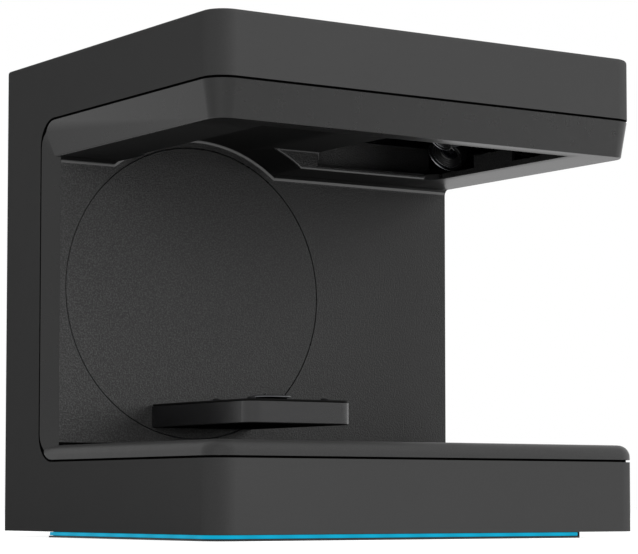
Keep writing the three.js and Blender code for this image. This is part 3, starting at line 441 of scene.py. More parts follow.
def metalFinish(name):
    look = metals[name]
    graph = Graph(name)
    shader = graph.shader
    shader.inputs["Metallic"].default_value = 1.0
    long, short = look["lines"]
    drawn = graph.stretched((1 / long, 1 / long, 1 / short))
    lines = graph.noise(1, brushing["lineDetail"], brushing["lineMix"], drawn)
    stains = graph.noise(brushing["stain"], brushing["stainDetail"])
    dark, light = (colourOf(look["colour"], gain) for gain in brushing["stainGains"])
    tone = graph.mixed(graph.ranged(stains, 0, 1), dark, light)
    drawnTone = colourOf(look["colour"], brushing["lineGain"])
    share = graph.ranged(lines, 0, brushing["lineShare"])
    graph.join(graph.mixed(share, tone, drawnTone), shader.inputs["Base Color"])
    graph.join(graph.ranged(lines, *look["rough"]), shader.inputs["Roughness"])
    graph.bumped(lines, look["depth"])
    return graph.material


diffuser = {
    "glow": (14, 166, 203), "body": (4, 60, 76), "strength": 0.86, "rough": 0.5, "specular": 0.08,
    "waveScale": 19.96,    # the glow rises and falls about every 31 millimetres
    "unevenness": 0.10, "grain": 0.0008, "grainDepth": 0.00001,
}


def diffuserFinish():
    graph = Graph("cyanDiffuser")
    shader = graph.shader
    shader.inputs["Base Color"].default_value = colourOf(diffuser["body"])
    shader.inputs["Roughness"].default_value = diffuser["rough"]
    shader.inputs["Specular IOR Level"].default_value = diffuser["specular"]
    wave = graph.add("ShaderNodeTexWave", wave_type="BANDS", bands_direction="DIAGONAL")
    wave.inputs["Scale"].default_value = diffuser["waveScale"]
    wave.inputs["Distortion"].default_value = 0.0
    graph.join(graph.place, wave.inputs["Vector"])
    uneven = diffuser["unevenness"]
    level = graph.mixed(
        graph.ranged(wave.outputs["Fac"], 0, 1, 0, 1),
        colourOf(diffuser["glow"], 1 - uneven),
        colourOf(diffuser["glow"], 1 + uneven / 2),
    )
    graph.join(level, shader.inputs["Emission Color"])
    shader.inputs["Emission Strength"].default_value = diffuser["strength"]
    graph.bumped(graph.noise(diffuser["grain"], moulding["grainDetail"]), diffuser["grainDepth"])
    return graph.material


optics = {
    "tint": (17, 19, 24), "coatingSheen": (62, 62, 76), "tintGain": 0.4, "coatingGain": 0.5, "blend": 0.35,
    "smear": 0.004, "smearDetail": 3, "rough": (0.02, 0.05), "specular": 0.8, "coat": 0.6, "coatRough": 0.02,
}


def glassFinish():
    graph = Graph("lensGlass")
    shader = graph.shader
    # painted reflection: the glass is coloured lighter towards its edge as seen from the camera, standing in
    # for its coating's reflection
    rings = graph.add("ShaderNodeLayerWeight")
    rings.inputs["Blend"].default_value = optics["blend"]
    tint = colourOf(optics["tint"], optics["tintGain"])
    coatingSheen = colourOf(optics["coatingSheen"], optics["coatingGain"])
    graph.join(graph.mixed(rings.outputs["Facing"], tint, coatingSheen), shader.inputs["Base Color"])
    smears = graph.noise(optics["smear"], optics["smearDetail"])
    graph.join(graph.ranged(smears, *optics["rough"]), shader.inputs["Roughness"])
    shader.inputs["Specular IOR Level"].default_value = optics["specular"]
    shader.inputs["Coat Weight"].default_value = optics["coat"]
    shader.inputs["Coat Roughness"].default_value = optics["coatRough"]
    return graph.material


board = {
    "green": (16, 74, 44), "trace": (30, 104, 62), "chip": (22, 22, 24),
    "traceScale": 0.25 / 0.0022,  # a row is a quarter high at a scale of 1
    "traceWidth": 0.03, "greenGain": 1.2, "traceGain": 1.4, "traceDepth": 0.00005,
    "chipHeight": 2.5 * millimetre, "chipGrain": 0.0012, "chipGains": (0.8, 1.3),
    "polish": 0.006, "rough": (0.3, 0.5),
}


def boardFinish():
    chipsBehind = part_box("main_board")[1].y - board["chipHeight"]
    graph = Graph("circuitBoard")
    shader = graph.shader
    traces = graph.add("ShaderNodeTexBrick")
    traces.inputs["Scale"].default_value = board["traceScale"]
    traces.inputs["Mortar Size"].default_value = board["traceWidth"]
    traces.inputs["Color1"].default_value = colourOf(board["green"])
    traces.inputs["Color2"].default_value = colourOf(board["green"], board["greenGain"])
    traces.inputs["Mortar"].default_value = colourOf(board["trace"], board["traceGain"])
    graph.join(graph.stretched((1, 1, 1), (math.radians(90), 0, 0)), traces.inputs["Vector"])
    split = graph.add("ShaderNodeSeparateXYZ")
    graph.join(graph.place, split.inputs[0])
    isChip = graph.maths("GREATER_THAN", split.outputs["Y"], chipsBehind)
    dark, light = (colourOf(board["chip"], gain) for gain in board["chipGains"])
    chipTone = graph.mixed(graph.noise(board["chipGrain"]), dark, light)
    graph.join(graph.mixed(isChip, traces.outputs["Color"], chipTone), shader.inputs["Base Color"])
    graph.join(graph.ranged(graph.noise(board["polish"]), *board["rough"]), shader.inputs["Roughness"])
    graph.bumped(traces.outputs["Fac"], board["traceDepth"])
    return graph.material


belt = {
    "colour": (34, 34, 34), "rough": (0.65, 0.85),
    "toothScale": 111.11,  # a tooth about every 2.8 millimetres
    "toothDepth": 0.0003, "dust": 0.006, "dustDetail": 4, "dustGains": (0.8, 1.3),
}


def beltFinish():
    graph = Graph("beltRubber")
    shader = graph.shader
    teeth = graph.add("ShaderNodeTexWave", wave_type="BANDS", bands_direction="X")
    teeth.inputs["Scale"].default_value = belt["toothScale"]
    graph.join(graph.place, teeth.inputs["Vector"])
    dusty = graph.noise(belt["dust"], belt["dustDetail"])
    dark, light = (colourOf(belt["colour"], gain) for gain in belt["dustGains"])
    graph.join(graph.mixed(graph.ranged(dusty, 0, 1), dark, light), shader.inputs["Base Color"])
    graph.join(graph.ranged(dusty, *belt["rough"]), shader.inputs["Roughness"])
    graph.bumped(teeth.outputs["Fac"], belt["toothDepth"])
    return graph.material


paint = {name: mouldedFinish(name) for name in finishes if name != "ceilingMatt"}
paint.update({name: metalFinish(name) for name in metals})
paint["ceilingMatt"] = ceilingFinish()
paint["windowPaintedShade"] = windowShadeFinish()
paint["cyanDiffuser"] = diffuserFinish()
paint["lensGlass"] = glassFinish()
paint["circuitBoard"] = boardFinish()
paint["beltRubber"] = beltFinish()
print("finishes made:", len(paint))


# Shaping

near = 1e-5      # metres, under which two places count as one
flat = 0.5       # degrees, under which faces are joined into one
sharpAngle = 50  # degrees, over which an edge is shaded sharp
rimSteps = 3


def boxMatrix(low, high):
    middle = (Vector(low) + Vector(high)) / 2
    size = Vector(high) - Vector(low)
    return Matrix.Translation(middle) @ Matrix.Diagonal((*size, 1))


def bevelEdges(bm, edges, width, segments, clamp=False):
    bmesh.ops.bevel(
        bm, geom=edges, offset=width, offset_type="OFFSET", segments=segments, profile=0.5,
        affect="EDGES", clamp_overlap=clamp, material=-1,
    )


def bevelCorners(bm, verts, width, segments):
    bmesh.ops.bevel(
        bm, geom=verts, offset=width, offset_type="OFFSET", segments=segments, profile=0.5,
        affect="VERTICES", clamp_overlap=False, material=-1,
    )


def soften(bm, width, segments=2, sharperThan=38, chosen=None, clamp=True):
    edges = [
        edge for edge in bm.edges
        if edge.is_manifold and edge.calc_face_angle(0) > math.radians(sharperThan)
        and (chosen is None or chosen(edge))
    ]
    bevelEdges(bm, edges, width, segments, clamp)


def only(kind, parts):
    return [part for part in parts if isinstance(part, kind)]


def copyOf(node):
    bm = bmesh.new()
    bm.from_mesh(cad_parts[node].data)
    bmesh.ops.remove_doubles(bm, verts=bm.verts, dist=near)
    bmesh.ops.dissolve_limit(bm, angle_limit=math.radians(flat), verts=bm.verts, edges=bm.edges)
    return bm


def cutAlong(bm, planes):
    for place, across in planes:
        everything = bm.verts[:] + bm.edges[:] + bm.faces[:]
        bmesh.ops.bisect_plane(bm, geom=everything, dist=near, plane_co=place, plane_no=across)


def roundSize(node):  # radius and height in millimetres, and the middle of the underside
    low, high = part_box(node)
    place = Matrix.Translation(((low.x + high.x) / 2, (low.y + high.y) / 2, low.z))
    return (high.x - low.x) / 2 / millimetre, (high.z - low.z) / millimetre, place


def lathe(bm, profile, place, steps):
    # turns (radius, along) points, in millimetres, about the piece's own Z
    known = set(bm.verts)
    verts = [bm.verts.new((radius * millimetre, 0, along * millimetre)) for radius, along in profile]
    edges = [bm.edges.new(pair) for pair in zip(verts, verts[1:])]
    bmesh.ops.spin(
        bm, geom=verts + edges, cent=(0, 0, 0), axis=(0, 0, 1), angle=math.tau, steps=steps, use_merge=True,
    )
    made = [vert for vert in bm.verts if vert not in known]
    bmesh.ops.remove_doubles(bm, verts=made, dist=near)
    made = [vert for vert in bm.verts if vert not in known]
    faces = list({face for vert in made for face in vert.link_faces})
    bmesh.ops.recalc_face_normals(bm, faces=faces)
    bmesh.ops.transform(bm, matrix=place, verts=made)


def finishPiece(name, bm, body, materials, replaced, sharp=sharpAngle):
    mesh = bpy.data.meshes.new(name)
    bm.to_mesh(mesh)
    bm.free()
    for material in materials if isinstance(materials, list) else [materials]:
        mesh.materials.append(material)
    for polygon in mesh.polygons:
        polygon.use_smooth = True
    mesh.set_sharp_from_angle(angle=math.radians(sharp))
    piece = bpy.data.objects.new(name, mesh)
    bpy.context.scene.collection.objects.link(piece)
    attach(piece, body)
    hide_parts(*replaced)
    return piece


def evenShading(piece):
    weighted = piece.modifiers.new("evenShading", "WEIGHTED_NORMAL")
    weighted.keep_sharp = True
    weighted.mode = "FACE_AREA"


def thicken(piece, wall, edge):
    solid = piece.modifiers.new("wall", "SOLIDIFY")
    solid.thickness = wall
    solid.offset = -1
    solid.use_even_offset = True
    rim = piece.modifiers.new("rim", "BEVEL")
    rim.width = edge
    rim.segments = rimSteps
    rim.limit_method = "ANGLE"
    rim.angle_limit = math.radians(sharpAngle)
    rim.harden_normals = False


# Outer shell: one skin over the top, the column behind and the base

shell = {
    "wall": 0.003, "frontCorner": 0.020, "frontSteps": 20, "topEdge": 0.003, "topSteps": 6,
    "mouthCorner": 0.0232, "mouthSteps": 16, "rim": 0.0003,
    "mouthTop": 0.3534, "mouthBottom": 0.06305, "mouthBack": 0.11115,
}


def mouthPlanes(inset=0):
    return (
        ((0, 0, shell["mouthTop"] - inset), (0, 0, 1)),
        ((0, 0, shell["mouthBottom"] + inset), (0, 0, 1)),
        ((0, shell["mouthBack"] - inset, 0), (0, 1, 0)),
    )


def makeOuterShell():
    low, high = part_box("outer_shell")
    bm = bmesh.new()
    bmesh.ops.create_cube(bm, size=1, matrix=boxMatrix(low, high))
    cutAlong(bm, mouthPlanes())
    opened = []
    for face in bm.faces:
        middle = face.calc_center_median()
        inMouth = middle.y < shell["mouthBack"] and shell["mouthBottom"] < middle.z < shell["mouthTop"]
        if inMouth or middle.z < low.z + near or middle.y > high.y - near:
            opened.append(face)
    bmesh.ops.delete(bm, geom=opened, context="FACES")
    bmesh.ops.dissolve_limit(bm, angle_limit=math.radians(flat), verts=bm.verts, edges=bm.edges)
    corners = [
        vert for vert in bm.verts
        if abs(vert.co.y - shell["mouthBack"]) < near and low.z + near < vert.co.z < high.z - near
    ]
    bevelCorners(bm, corners, shell["mouthCorner"], shell["mouthSteps"])
    upright = [
        edge for edge in bm.edges
        if all(vert.co.y < low.y + near for vert in edge.verts)
        and abs(edge.verts[0].co.x - edge.verts[1].co.x) < near
    ]
    bevelEdges(bm, upright, shell["frontCorner"], shell["frontSteps"])
    topEdges = [
        edge for edge in bm.edges
        if edge.is_manifold and all(vert.co.z > high.z - near for vert in edge.verts)
    ]
    bevelEdges(bm, topEdges, shell["topEdge"], shell["topSteps"])
    looks = [paint["shellPaint"], paint["paintedShadeBlack"]]
    piece = finishPiece("outer_shell_skin", bm, "housing", looks, ["outer_shell"])
    thicken(piece, shell["wall"], shell["rim"])
    # painted shade: the shell's cut rims, in the seam, are painted near-black
    piece.modifiers["wall"].material_offset_rim = 1
    evenShading(piece)


makeOuterShell()
print("outer shell made")


# Liner of the scan space, with rounded inner corners where the wall meets the ceiling and the floor

liner = {
    "edge": 0.0009, "ceiling": 0.3211, "floor": 0.0773, "wall": 0.0894, "cheekInset": 0.0078,
    "axis": (-0.0694, 0.2113), "vaultRadius": 0.1345, "topFillet": 0.006, "floorFillet": 0.0025,
    "filletPath": 0.1371,  # the fillet's corner runs round the vault a little outside it
    "filletSteps": 8, "kneeSteps": 8, "vaultSteps": 48,
    "highlightShares": (0.85, 0.98),  # how far a face of the fillet looks to the front, for its light line
    "recessBack": 0.039, "recessRight": 0.153, "windowBack": 0.052,
    "rimEdge": 0.0018, "rimSteps": 4, "rimFrom": -0.03, "rimAngle": 20,
    "backing": 0.0006,     # how far a fillet reaches into the liner behind it
    "seam": 0.0019,        # between the liner and the shell
}


def filletFace(bm, x, y, z, radius, side):
    # a wedge in the corner of the wall and a ceiling (side 1) or a floor (side -1), hollow towards the room
    backing, steps = liner["backing"], liner["filletSteps"]
    verts = []
    for step in range(steps + 1):
        turn = math.radians(90) * step / steps
        across, down = radius - radius * math.sin(turn), radius - radius * math.cos(turn)
        verts.append(bm.verts.new((x, y - across, z - side * down)))
    verts.append(bm.verts.new((x, y + backing, z - side * radius)))
    verts.append(bm.verts.new((x, y + backing, z + side * backing)))
    verts.append(bm.verts.new((x, y - radius, z + side * backing)))
    return bm.faces.new(verts)


def extrudeOn(bm, face, move):
    made = bmesh.ops.extrude_face_region(bm, geom=[face])["geom"]
    bmesh.ops.translate(bm, vec=move, verts=only(bmesh.types.BMVert, made))
    return only(bmesh.types.BMFace, made)[0]


def spinOn(bm, face, centre, angle, steps):
    made = bmesh.ops.spin(bm, geom=[face], cent=centre, axis=(0, 1, 0), angle=angle, steps=steps)
    return only(bmesh.types.BMFace, made["geom_last"])[0]


def addCeilingFillet(bm):
    axisX, axisZ = liner["axis"]
    radius, wall, ceiling = liner["filletPath"], liner["wall"], liner["ceiling"]
    rise = ceiling - axisZ
    half = math.sqrt(radius ** 2 - rise ** 2)
    lean = math.atan2(half, rise)
    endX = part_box("inner_liner")[1].x - liner["cheekInset"]
    face = filletFace(bm, -endX, wall, ceiling, liner["topFillet"], 1)
    face = extrudeOn(bm, face, (axisX - half + endX, 0, 0))
    face = spinOn(bm, face, (axisX - half, wall, ceiling), -lean, liner["kneeSteps"])
    face = spinOn(bm, face, (axisX, wall, axisZ), 2 * lean, liner["vaultSteps"])
    face = spinOn(bm, face, (axisX + half, wall, ceiling), -lean, liner["kneeSteps"])
    extrudeOn(bm, face, (endX - axisX - half, 0, 0))


def addFloorFillet(bm):
    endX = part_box("inner_liner")[1].x - liner["cheekInset"]
    face = filletFace(bm, -endX, liner["wall"], liner["floor"], liner["floorFillet"], -1)
    extrudeOn(bm, face, (2 * endX, 0, 0))


linerLooks = [
    "linerPlastic", "wallPlastic", "ceilingMatt", "paintedShadeBlack", "paintedEdgeHighlight", "windowPaintedShade", "floorPlastic",
]
square = 0.9  # a face looks one way when its normal's share that way is more than this


def linerZone(face):
    middle, facing = face.calc_center_median(), face.normal
    top, bottom, back = (shell[name] for name in ("mouthTop", "mouthBottom", "mouthBack"))
    seam = liner["seam"]
    # painted shade: the liner's faces at the seam are painted near-black
    if middle.z > top - seam - near or middle.z < bottom + seam + near or middle.y > back - seam - near:
        return "paintedShadeBlack"
    if middle.z < liner["floor"] + near:
        return "floorPlastic"
    if facing.y < -square and abs(middle.y - liner["windowBack"]) < near:
        return "windowPaintedShade"
    if facing.y < -square and any(abs(middle.y - liner[name]) < near for name in ("wall", "recessBack")):
        return "wallPlastic"
    if abs(middle.x - liner["recessRight"]) < near and facing.x < -square:
        return "wallPlastic"
    atCeiling = middle.z > liner["ceiling"] - near
    onRim = liner["recessBack"] - near < middle.y < liner["recessBack"] + liner["rimEdge"]
    # painted highlight: the recess rim's rounded edge is painted lighter as a light line
    if onRim and atCeiling and -0.97 < facing.y < -0.2:  # the rim's rounded edge, between its two flats
        return "paintedEdgeHighlight"
    axisX, axisZ = liner["axis"]
    outside = math.hypot(middle.x - axisX, middle.z - axisZ) - liner["vaultRadius"]
    inVault = abs(outside) < 0.5 * millimetre and abs(facing.y) < 1 - square
    if atCeiling and (facing.z < -0.999 or inVault):  # quite level, or part of the vault
        return "ceilingMatt"
    return "linerPlastic"


def filletZone(face):
    lowest, highest = liner["highlightShares"]
    towardsFront = -face.normal.y
    # painted shade: the fillet in the corner of the wall and the floor is painted near-black
    if face.calc_center_median().z < liner["floor"] + liner["floorFillet"]:
        return "paintedShadeBlack"
    # painted highlight: a band of the fillet facing the front gets a lighter, glossier plastic as the light
    # line, and the faces above it the ceiling's dark finish
    if towardsFront < lowest:
        return "ceilingMatt"
    return "paintedEdgeHighlight" if towardsFront < highest else "wallPlastic"


def onRecessRim(edge):
    return all(
        abs(vert.co.y - liner["recessBack"]) < near
        and vert.co.z > liner["ceiling"] - near and vert.co.x > liner["rimFrom"]
        for vert in edge.verts
    )


def makeFillets():
    fillets = bmesh.new()
    addCeilingFillet(fillets)
    addFloorFillet(fillets)
    bmesh.ops.remove_doubles(fillets, verts=fillets.verts, dist=near)
    between = [  # the ends that are left inside where one length goes over into the next
        face for face in fillets.faces
        if len(face.verts) > 4 and all(len(edge.link_faces) > 2 for edge in face.edges)
    ]
    bmesh.ops.delete(fillets, geom=between, context="FACES_ONLY")
    bmesh.ops.recalc_face_normals(fillets, faces=fillets.faces)
    return fillets


def makeInnerLiner():
    bm = copyOf("inner_liner")
    cutAlong(bm, mouthPlanes(liner["seam"]))
    soften(
        bm, liner["rimEdge"], segments=liner["rimSteps"], sharperThan=liner["rimAngle"], chosen=onRecessRim,
        clamp=False,
    )
    soften(bm, liner["edge"], segments=3)
    fillets = makeFillets()
    for part, zone in ((bm, linerZone), (fillets, filletZone)):
        for face in part.faces:
            face.material_index = linerLooks.index(zone(face))
    mesh = bpy.data.meshes.new("fillets")
    fillets.to_mesh(mesh)
    fillets.free()
    bm.from_mesh(mesh)
    bpy.data.meshes.remove(mesh)
    looks = [paint[name] for name in linerLooks]
    piece = finishPiece("inner_liner_skin", bm, "housing", looks, ["inner_liner"])
    evenShading(piece)


makeInnerLiner()
print("liner made")


# Disc that carries the arm, flush in the wall

disc = {"edge": 0.0003, "steps": 200}


def onSwingAxis(y):
    axisX, axisZ = liner["axis"]
    return Matrix.Translation((axisX, y, axisZ)) @ Matrix.Rotation(math.radians(-90), 4, "X")


def makeSwingDisc():
    low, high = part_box("swing_disc")
    radius = (high.x - low.x) / 2 / millimetre
    depth = (high.y - low.y) / millimetre
    bm = bmesh.new()
    lathe(bm, [(0, 0), (radius, 0), (radius, depth), (0, depth)], onSwingAxis(low.y), disc["steps"])
    soften(bm, disc["edge"], segments=3)
    piece = finishPiece("swing_disc_face", bm, "arm", paint["wallPlastic"], ["swing_disc"])
    evenShading(piece)


makeSwingDisc()
print("disc made")


# Arm: a tray with rounded front corners, and its black cover

arm = {
    "corner": 0.012, "cornerSteps": 20, "underEdge": 0.0010, "underSteps": 4,
    "wall": 0.0025, "rim": 0.0005, "coverEdge": 0.0005,
    "clear": 0.0005, "cutSlope": 2.4,  # for the cut corner at the wall
}


def makeArmTray():
    low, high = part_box("arm_tray")
    bm = bmesh.new()
    bmesh.ops.create_cube(bm, size=1, matrix=boxMatrix(low, high))
    bmesh.ops.delete(bm, geom=[face for face in bm.faces if face.normal.z > square], context="FACES")
    frontUpright = [
        edge for edge in bm.edges
        if all(vert.co.y < low.y + near for vert in edge.verts)
        and abs(edge.verts[0].co.z - edge.verts[1].co.z) > near
    ]
    bevelEdges(bm, frontUpright, arm["corner"], arm["cornerSteps"])
    under = [
        edge for edge in bm.edges
        if all(vert.co.z < low.z + near for vert in edge.verts)
        and not all(vert.co.y > high.y - near for vert in edge.verts)
    ]
    bevelEdges(bm, under, arm["underEdge"], arm["underSteps"])
    # The lower corner at the wall is cut away, so that it passes the vault's rounded foot as the arm swings
    axisX, axisZ = liner["axis"]
    outwards = Vector((high.x - axisX, 0, low.z - axisZ)).normalized()
    reach = liner["filletPath"] - liner["topFillet"] - arm["clear"]
    place = Vector((axisX, high.y, axisZ)) + outwards * reach
    everything = bm.verts[:] + bm.edges[:] + bm.faces[:]
    cut = bmesh.ops.bisect_plane(
        bm, geom=everything, dist=near, plane_co=place, plane_no=outwards + Vector((0, arm["cutSlope"], 0)),
        clear_outer=True,
    )
    bmesh.ops.holes_fill(bm, edges=only(bmesh.types.BMEdge, cut["geom_cut"]))
    for face in bm.faces:
        face.material_index = 1 if face.normal.z < -square else 0
    looks = [paint["armPaint"], paint["paintedShadeBlack"]]
    piece = finishPiece("arm_tray_skin", bm, "arm", looks, ["arm_tray"])
    thicken(piece, arm["wall"], arm["rim"])
    evenShading(piece)


def makeArmCover():
    bm = copyOf("arm_cover")
    soften(bm, arm["coverEdge"], segments=3)
    looks = [paint["coverBlack"]]
    evenShading(finishPiece("arm_cover_skin", bm, "arm", looks, ["arm_cover"]))


pad = {"dome": 0.5, "steps": 40, "edge": 0.0004}  # the dome in millimetres


def makePads():
    for number in range(1, 5):
        node = "arm_pad_%d" % number
        radius, height, place = roundSize(node)
        bm = bmesh.new()
        profile = [(0, 0), (radius, 0), (radius, height - pad["dome"]), (0, height)]
        lathe(bm, profile, place, pad["steps"])
        soften(bm, pad["edge"], segments=3, sharperThan=20)
        evenShading(finishPiece(node + "_cap", bm, "arm", paint["rubber"], [node]))


makeArmTray()
makeArmCover()
makePads()
print("arm made")


# Turntable with a recessed middle and fine rings, and its pins

table = {  # millimetres, but for the edge
    "grooves": (6.5, 8.0, 14.0), "grooveWidth": 0.5, "grooveDepth": 0.25,
    "socket": 3.0, "socketDepth": 1.0, "socketSlope": 0.4,
    "chamfer": 0.7, "ring": (0.7, 1.7), "neck": 3.5, "neckSlope": 0.2,
    "steps": 128, "edge": 0.00015,
}


def makeTurntable():
    radius, height, place = roundSize("turntable")
    socket, deepest = table["socket"], height - table["socketDepth"]
    profile = [(0, deepest), (socket - table["socketSlope"], deepest), (socket, height)]
    wide, deep = table["grooveWidth"], table["grooveDepth"]
    for groove in table["grooves"]:
        profile += [
            (groove - wide, height), (groove - wide / 2, height - deep),
            (groove + wide / 2, height - deep), (groove + wide, height),
        ]
    top, bottom = (height - share for share in table["ring"])
    neck = radius - table["neck"]
    profile += [
        (radius - table["chamfer"], height), (radius, top), (radius, bottom),
        (neck, bottom - table["neckSlope"]), (neck, 0), (0, 0),
    ]
    bm = bmesh.new()
    lathe(bm, profile, place, table["steps"])
    soften(bm, table["edge"], sharperThan=30)
    for face in bm.faces:
        rise = (face.calc_center_median().z - place.translation.z) / millimetre
        if rise < bottom - table["neckSlope"] / 4:
            face.material_index = 2
        else:
            face.material_index = 1 if rise < top and abs(face.normal.z) < 0.5 else 0
    looks = [paint["blackAnodised"], paint["greyAnodised"], paint["paintedShadeBlack"]]
    evenShading(finishPiece("turntable_plate", bm, "table", looks, ["turntable"]))


pin = {"taper": 0.55, "steps": 32, "edge": 0.0002}


def makePins():
    for number in range(1, 4):
        node = "locating_pin_%d" % number
        radius, height, place = roundSize(node)
        taper = pin["taper"]
        bm = bmesh.new()
        profile = [(0, 0), (radius, 0), (radius, height * taper), (radius * taper, height), (0, height)]
        lathe(bm, profile, place, pin["steps"])
        soften(bm, pin["edge"], segments=3, sharperThan=20)
        evenShading(finishPiece(node + "_tip", bm, "table", paint["blackAnodised"], [node]))


makeTurntable()
makePins()
print("turntable made")


# Cameras and projector in the head

head = {
    "place": (0.156, -0.025, 0.342), "pitch": 45, "spacing": 0.102, "aimX": -0.063,
    "projector": (-0.0346, 0, -0.028),
}
lens = {
    "length": 24, "rings": ((16.9, 17.65), (13.0, 14.1)), "ringDepth": 1.2,  # millimetres
    "steps": 96, "edge": 0.00012, "glassSteps": 64, "glassSharp": 60,
}
smallLens = {"scale": 12 / 18, "length": 20}  # the projector's, against the cameras'
lensProfile = [  # radius and depth behind the front, in millimetres
    (0, 8.4), (8.6, 8.4), (8.6, 6.4), (9.4, 5.8), (9.4, 4.9), (10.6, 4.4), (10.6, 3.6), (12.0, 3.0),
    (12.0, 2.2), (13.4, 1.6), (13.4, 0.9), (14.0, 0.7), (15.6, 0.7), (15.6, 3.4), (16.7, 3.4), (16.7, 0.6),
    (17.2, 0), (17.7, 0), (18, 0.5), (18, 7.6), (17.6, 8), (16.4, 8), (16.4, 9.2), (15, 9.2),
    (15, 12), (14.6, 12.4), (14.6, 13.4), (15, 13.8), (15, 24), (0, 24),
]
glassProfile = [(8.3, 7.9), (8.3, 5.9), (7.4, 5.25), (6.0, 4.7), (4.4, 4.25), (2.4, 3.95), (0, 3.85)]


def headMatrix():
    return Matrix.Translation(head["place"]) @ Matrix.Rotation(math.radians(head["pitch"]), 4, "Y")


def mountMatrix(side):
    reach = (head["place"][0] - head["aimX"]) / math.sin(math.radians(head["pitch"]))
    toe = math.atan(head["spacing"] / 2 / reach)
    across = Matrix.Translation((0, side * head["spacing"] / 2, 0))
    return headMatrix() @ across @ Matrix.Rotation(-side * toe, 4, "X")


def makeLens(node, place, scale=1.0, length=lens["length"]):
    bm = bmesh.new()
    profile = [
        (radius * scale, min(depth * scale, length) if depth < lens["length"] else length)
        for radius, depth in lensProfile
    ]
    lathe(bm, profile, place, lens["steps"])
    soften(bm, lens["edge"], sharperThan=25)
    back = place.inverted()
    for face in bm.faces:
        middle = back @ face.calc_center_median()
        out, deep = math.hypot(middle.x, middle.y) / scale / millimetre, middle.z / millimetre
        onRing = any(low < out < high for low, high in lens["rings"])
        face.material_index = 1 if onRing and deep < lens["ringDepth"] else 0
    looks = [paint["lensBlack"], paint["polishedRing"]]
    evenShading(finishPiece(node + "_barrel", bm, "housing", looks, [node]))


def makeGlass(node, place, scale=1.0):
    bm = bmesh.new()
    profile = [(0, glassProfile[0][1])] + glassProfile
    lathe(bm, [(radius * scale, depth * scale) for radius, depth in profile], place, lens["glassSteps"])
    looks = [paint["lensGlass"]]
    piece = finishPiece(node + "_dome", bm, "housing", looks, [node], sharp=lens["glassSharp"])
    evenShading(piece)


def makeHead():
    for name, side in (("front", -1), ("rear", 1)):
        makeLens("camera_%s_lens" % name, mountMatrix(side))
        makeGlass("camera_%s_glass" % name, mountMatrix(side))
    place = headMatrix() @ Matrix.Translation(head["projector"])
    makeLens("projector_lens", place, smallLens["scale"], smallLens["length"])
    makeGlass("projector_glass", place, smallLens["scale"])


makeHead()
print("optics made")


# Feet, screws, strip and what is on the rear panel

foot = {  # millimetres, but for the edge
    "recess": 9.0, "recessDepth": 0.8, "groove": 11.5, "grooveHalf": 0.3, "grooveDepth": 0.4,
    "chamfer": 1,
    "steps": 64, "edge": 0.00015,
}


def makeFeet():
    for number in range(1, 5):
        node = "foot_%d" % number
        radius, height, place = roundSize(node)
        deep, chamfer = foot["recessDepth"], foot["chamfer"]
        groove, half = foot["groove"], foot["grooveHalf"]
        profile = [
            (0, deep), (foot["recess"] - deep, deep), (foot["recess"], 0), (groove, 0),
            (groove + half, foot["grooveDepth"]), (groove + 2 * half, 0),
            (radius - chamfer, 0), (radius, chamfer), (radius, height), (0, height),
        ]
        bm = bmesh.new()
        lathe(bm, profile, place, foot["steps"])
        soften(bm, foot["edge"], sharperThan=20)
        evenShading(finishPiece(node + "_pad", bm, "housing", paint["rubber"], [node]))


screw = {  # millimetres, but for the edge
    "socket": 1.6, "socketDepth": 1.1, "socketTaper": 0.6, "dome": 0.5, "domeWidth": 0.9,
    "steps": 48, "edge": 0.00015,
}


def makeScrews():
    for number in range(1, 5):
        node = "panel_screw_%d" % number
        low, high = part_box(node)
        radius = (high.x - low.x) / 2 / millimetre
        height = (high.y - low.y) / millimetre
        place = Matrix.Translation(((low.x + high.x) / 2, low.y, (low.z + high.z) / 2))
        place = place @ Matrix.Rotation(math.radians(-90), 4, "X")
        bm = bmesh.new()
        socket, deepest = screw["socket"], height - screw["socketDepth"]
        profile = [
            (radius, 0), (radius, height - screw["dome"]), (radius - screw["domeWidth"], height),
            (socket, height), (socket * screw["socketTaper"], deepest), (0, deepest),
        ]
        lathe(bm, profile, place, screw["steps"])
        rim = [edge for edge in bm.edges if edge.is_boundary]
        bmesh.ops.edgenet_fill(bm, edges=rim)
        bmesh.ops.recalc_face_normals(bm, faces=bm.faces)
        soften(bm, screw["edge"], sharperThan=25)
        evenShading(finishPiece(node + "_head", bm, "housing", paint["steel"], [node]))


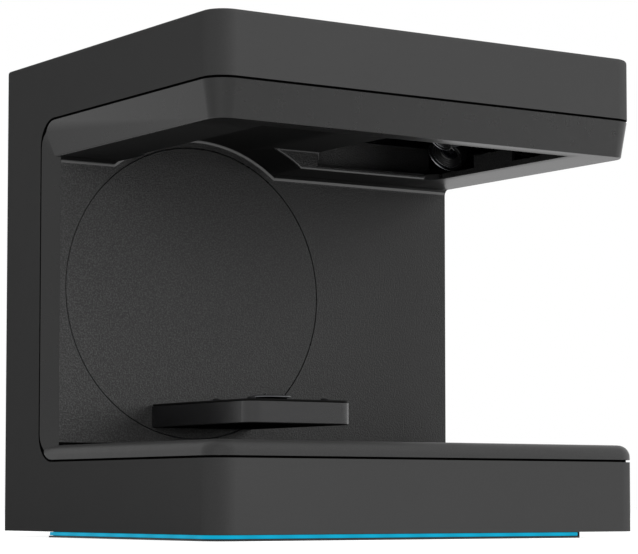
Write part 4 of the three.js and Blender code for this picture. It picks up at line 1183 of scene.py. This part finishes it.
copies = {  # body, slot, finish and edge of the pieces that keep their construction shape, softened
    "light_strip": ("housing", "cyan_diffuser", "cyanDiffuser", 0.0005),
    "strip_channel": ("housing", "black_plastic", "blackPlastic", 0.0002),
    "base_plate": ("housing", "sheet_steel", "panelPaint", 0.0005),
    "rear_panel": ("housing", "sheet_steel", "panelPaint", 0.0004),
    "power_inlet": ("housing", "black_plastic", "blackPlastic", 0.0003),
    "data_socket": ("housing", "steel", "socketShell", 0.0003),
    "switch_bezel": ("housing", "black_plastic", "blackPlastic", 0.0003),
    "switch_rocker": ("rocker", "black_plastic", "glossBlack", 0.0004),
    "fan_frame": ("housing", "black_plastic", "blackPlastic", 0.0004),
    "fan_rotor": ("fan", "black_plastic", "blackPlastic", 0.0003),
    "optics_bench": ("housing", "aluminium", "aluminium", 0.0004),
    "camera_front_body": ("housing", "black_plastic", "blackPlastic", 0.0006),
    "camera_rear_body": ("housing", "black_plastic", "blackPlastic", 0.0006),
    "projector_body": ("housing", "black_plastic", "blackPlastic", 0.0006),
}


channel = {"raised": 0.00025, "lowered": 0.00045}


def makeCopies():
    for node, (body, slot, finish, edge) in copies.items():
        bm = copyOf(node)
        if node == "strip_channel":  # closer to the case and to the desk, so that no light shows past it
            low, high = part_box(node)
            for level, shift in ((high.z, channel["raised"]), (low.z, -channel["lowered"])):
                rim = [vert for vert in bm.verts if abs(vert.co.z - level) < near]
                bmesh.ops.translate(bm, vec=(0, 0, shift), verts=rim)
        soften(bm, edge, sharperThan=30)
        evenShading(finishPiece(node + "_finished", bm, body, paint[finish], [node]))


makeFeet()
makeScrews()
makeCopies()
print("trim made")


# Pieces inside, which keep their construction shape

inside = {
    "sheetSteel": ["chassis_plate"],
    "aluminium": [
        "swing_bearing", "swing_pulley", "swing_motor_pulley", "table_pulley", "table_motor_pulley",
        "power_supply",
    ],
    "steel": ["swing_shaft", "table_spindle"],
    "brass": ["table_bush"],
    "blackPlastic": ["swing_motor", "table_motor", "home_sensor"],
    "beltRubber": ["swing_belt", "table_belt"],
    "circuitBoard": ["main_board", "strip_light_board"],
}
for finish, nodes in inside.items():
    for node in nodes:
        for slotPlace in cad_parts[node].material_slots:
            slotPlace.material = paint[finish]
print("inner pieces finished")
